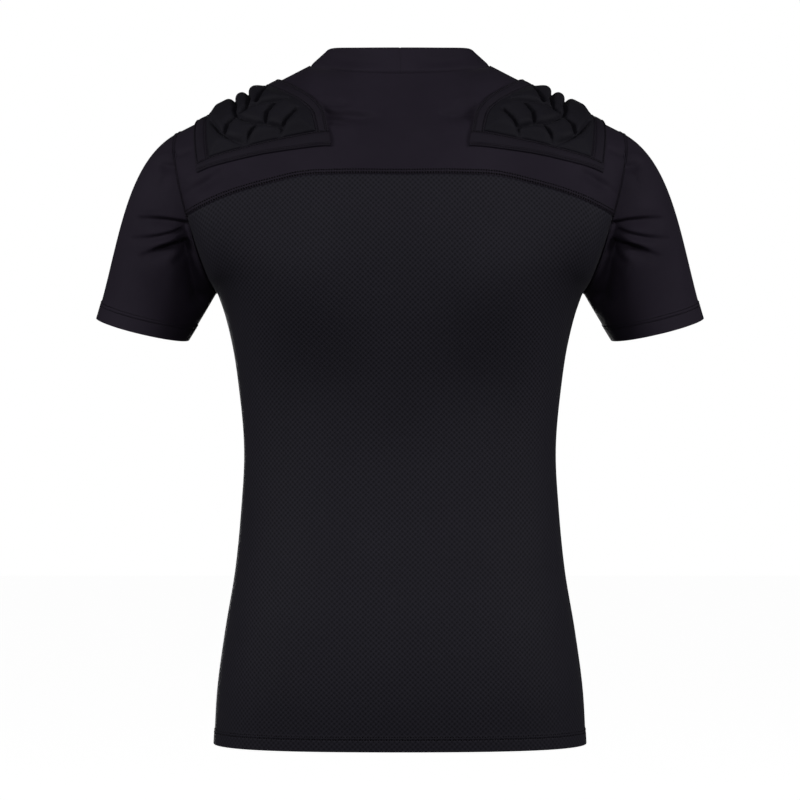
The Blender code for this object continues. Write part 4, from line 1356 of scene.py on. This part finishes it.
SIDES = (("left", "L"), ("right", "R"))
SLOTS = {"net_back": "net", "yoke": "jersey", "front": "jersey", "collar_band": "jersey"}
NODES = {
    "net_back": ("back_panel",), "yoke": ("back_yoke",),
    "front": ("front_panel",), "collar_band": ("collar",),
}
for side, letter in SIDES:
    SLOTS["sleeve_" + side] = "jersey"
    NODES["sleeve_" + side] = ("sleeve_" + letter,)
    SLOTS["pad_" + side] = "pad_cover"
    NODES["pad_" + side] = ("shoulder_pad_" + letter,)
    for name in strips:
        SLOTS[name + "_" + side] = "strip"
        NODES[name + "_" + side] = (name + "_" + letter,)


def surface_area(piece):
    """Half the surface of a closed wall, in square metres: one side of its cloth."""
    return 0.5 * sum(face.area for face in piece.data.polygons)


for name, piece in pieces.items():
    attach(piece, "root")
    slot = SLOTS.get(name, "strip" if name.startswith("strip") else "jersey")
    # Stitches take the thread, and their dark solids the painted needle-hole shade.
    if "stitches" in name:
        piece.data.materials.append(materials["thread"])
        piece.data.materials.append(materials["needle_hole_shade"])
    else:
        piece.data.materials.append(materials[slot])
    if name in NODES:
        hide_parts(*NODES[name])
        print(name, "area", round(surface_area(piece), 4), "m2", len(piece.data.polygons), "faces")

# %% [markdown]
# A sheet's cut is what a cutter would lay out flat: the box that holds it, its area and how the worn top
# holds it. The panels are stretched over the body, the sleeves hang, and the strips lie flat where they
# are sewn. The pads are filled with foam.

# %% Table of the sheets' cuts, and the length of each strip
SHEET_COLUMNS = ("piece", "width", "length", "area", "held")
SHEETS = (
    ("net_back", 0.50, 0.57, 0.248, "stretched"),
    ("yoke", 0.52, 0.17, 0.066, "stretched"),
    ("front", 0.60, 0.74, 0.317, "stretched"),
    ("sleeve_left", 0.48, 0.21, 0.0455, "draped"),
    ("sleeve_right", 0.48, 0.21, 0.0455, "draped"),
    ("collar_band", 0.52, 0.03, 0.0120, "stretched"),
)
for row in SHEETS:
    cut = dict(zip(SHEET_COLUMNS, row))
    name = cut["piece"]
for side, _ in SIDES:
    for name, ((top, _), axis) in strips.items():
        length = float(run_along(top, 1 - axis).max()) * MM
        piece_name = name + "_" + side
        print(piece_name, round(length, 3), "m long")

# %% [markdown]
# A plain pale studio with a floor well below the hem. Two strong lights stand well out to the sides, so
# that grooves and folds in near-black cloth keep a dark side. A weaker one high behind the camera fills
# the back, a faint one hangs overhead, and one low in front serves the hidden side.

# %% Studio
FLOOR_HEIGHT = -1.4
FLOOR_SIZE = 40.0
LIGHT_COLUMNS = ("name", "power", "size", "x", "y", "z")
LIGHTS = (
    ("key", 25.0, 1.2, -0.1, 3.0, 0.7),
    ("overhead", 1.5, 1.6, 0.0, 0.8, 2.2),
    ("left_side", 50.0, 0.9, 2.6, 1.4, 0.7),
    ("right_side", 50.0, 0.9, -2.6, 1.4, 0.7),
    ("front_fill", 54.0, 1.6, 0.3, -3.2, -0.6),
)
AIM = (0.0, 0.0, -0.3)
bpy.ops.mesh.primitive_plane_add(size=FLOOR_SIZE, location=(0.0, 0.0, FLOOR_HEIGHT))
floor = bpy.context.object
floor.name = "floor"
floor_material = bpy.data.materials.new("pale_floor")
floor_material.use_nodes = True
floor_shader = floor_material.node_tree.nodes["Principled BSDF"]
floor_shader.inputs["Base Color"].default_value = (0.9, 0.9, 0.9, 1.0)
floor_shader.inputs["Roughness"].default_value = 0.7
floor_shader.inputs["Emission Color"].default_value = (1.0, 1.0, 1.0, 1.0)
floor_shader.inputs["Emission Strength"].default_value = 0.9
floor.visible_diffuse = False
floor.visible_glossy = False
floor.data.materials.append(floor_material)
floor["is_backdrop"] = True
for row in LIGHTS:
    light = dict(zip(LIGHT_COLUMNS, row))
    place = np.array((light["x"], light["y"], light["z"]))
    aim = unit(np.array(AIM) - place)
    turn = (math.acos(-aim[2]), 0.0, math.atan2(aim[1], aim[0]) - 0.5 * math.pi)
    bpy.ops.object.light_add(type="AREA", location=place, rotation=turn)
    lamp = bpy.context.object
    lamp.name = light["name"]
    lamp.data.energy = light["power"]
    lamp.data.size = light["size"]
print("lights:", ", ".join(row[0] for row in LIGHTS))

# %% [markdown]
# The surround is white where the camera sees it and dim where it lights the cloth, or near-black cloth
# would turn grey at its edges. The kind of ray decides between the two.

# %% White surround
SURROUND_SEEN = 1.0
SURROUND_LIGHT = 0.10
SURROUND_MIRRORED = 0.03
world = bpy.data.worlds.new("studio")
bpy.context.scene.world = world
world.use_nodes = True
world_start = Wire(world.node_tree, None)
seen = world_start.add_node("ShaderNodeLightPath")
mirrored_ray = Wire(world.node_tree, seen.socket.node.outputs["Is Glossy Ray"])
strength = SURROUND_LIGHT + (SURROUND_SEEN - SURROUND_LIGHT) * seen
strength = strength + (SURROUND_MIRRORED - SURROUND_LIGHT) * mirrored_ray
background = world.node_tree.nodes["Background"]
background.inputs["Color"].default_value = (1.0, 1.0, 1.0, 1.0)
world.node_tree.links.new(strength.socket, background.inputs["Strength"])
bpy.context.scene.view_settings.view_transform = "Standard"
bpy.context.scene.view_settings.look = "None"
print("surround strength", SURROUND_LIGHT, "and", SURROUND_SEEN, "where seen")

# %% [markdown]
# Last, the box round everything shown is found.

# %% Box round everything shown
low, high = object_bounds()
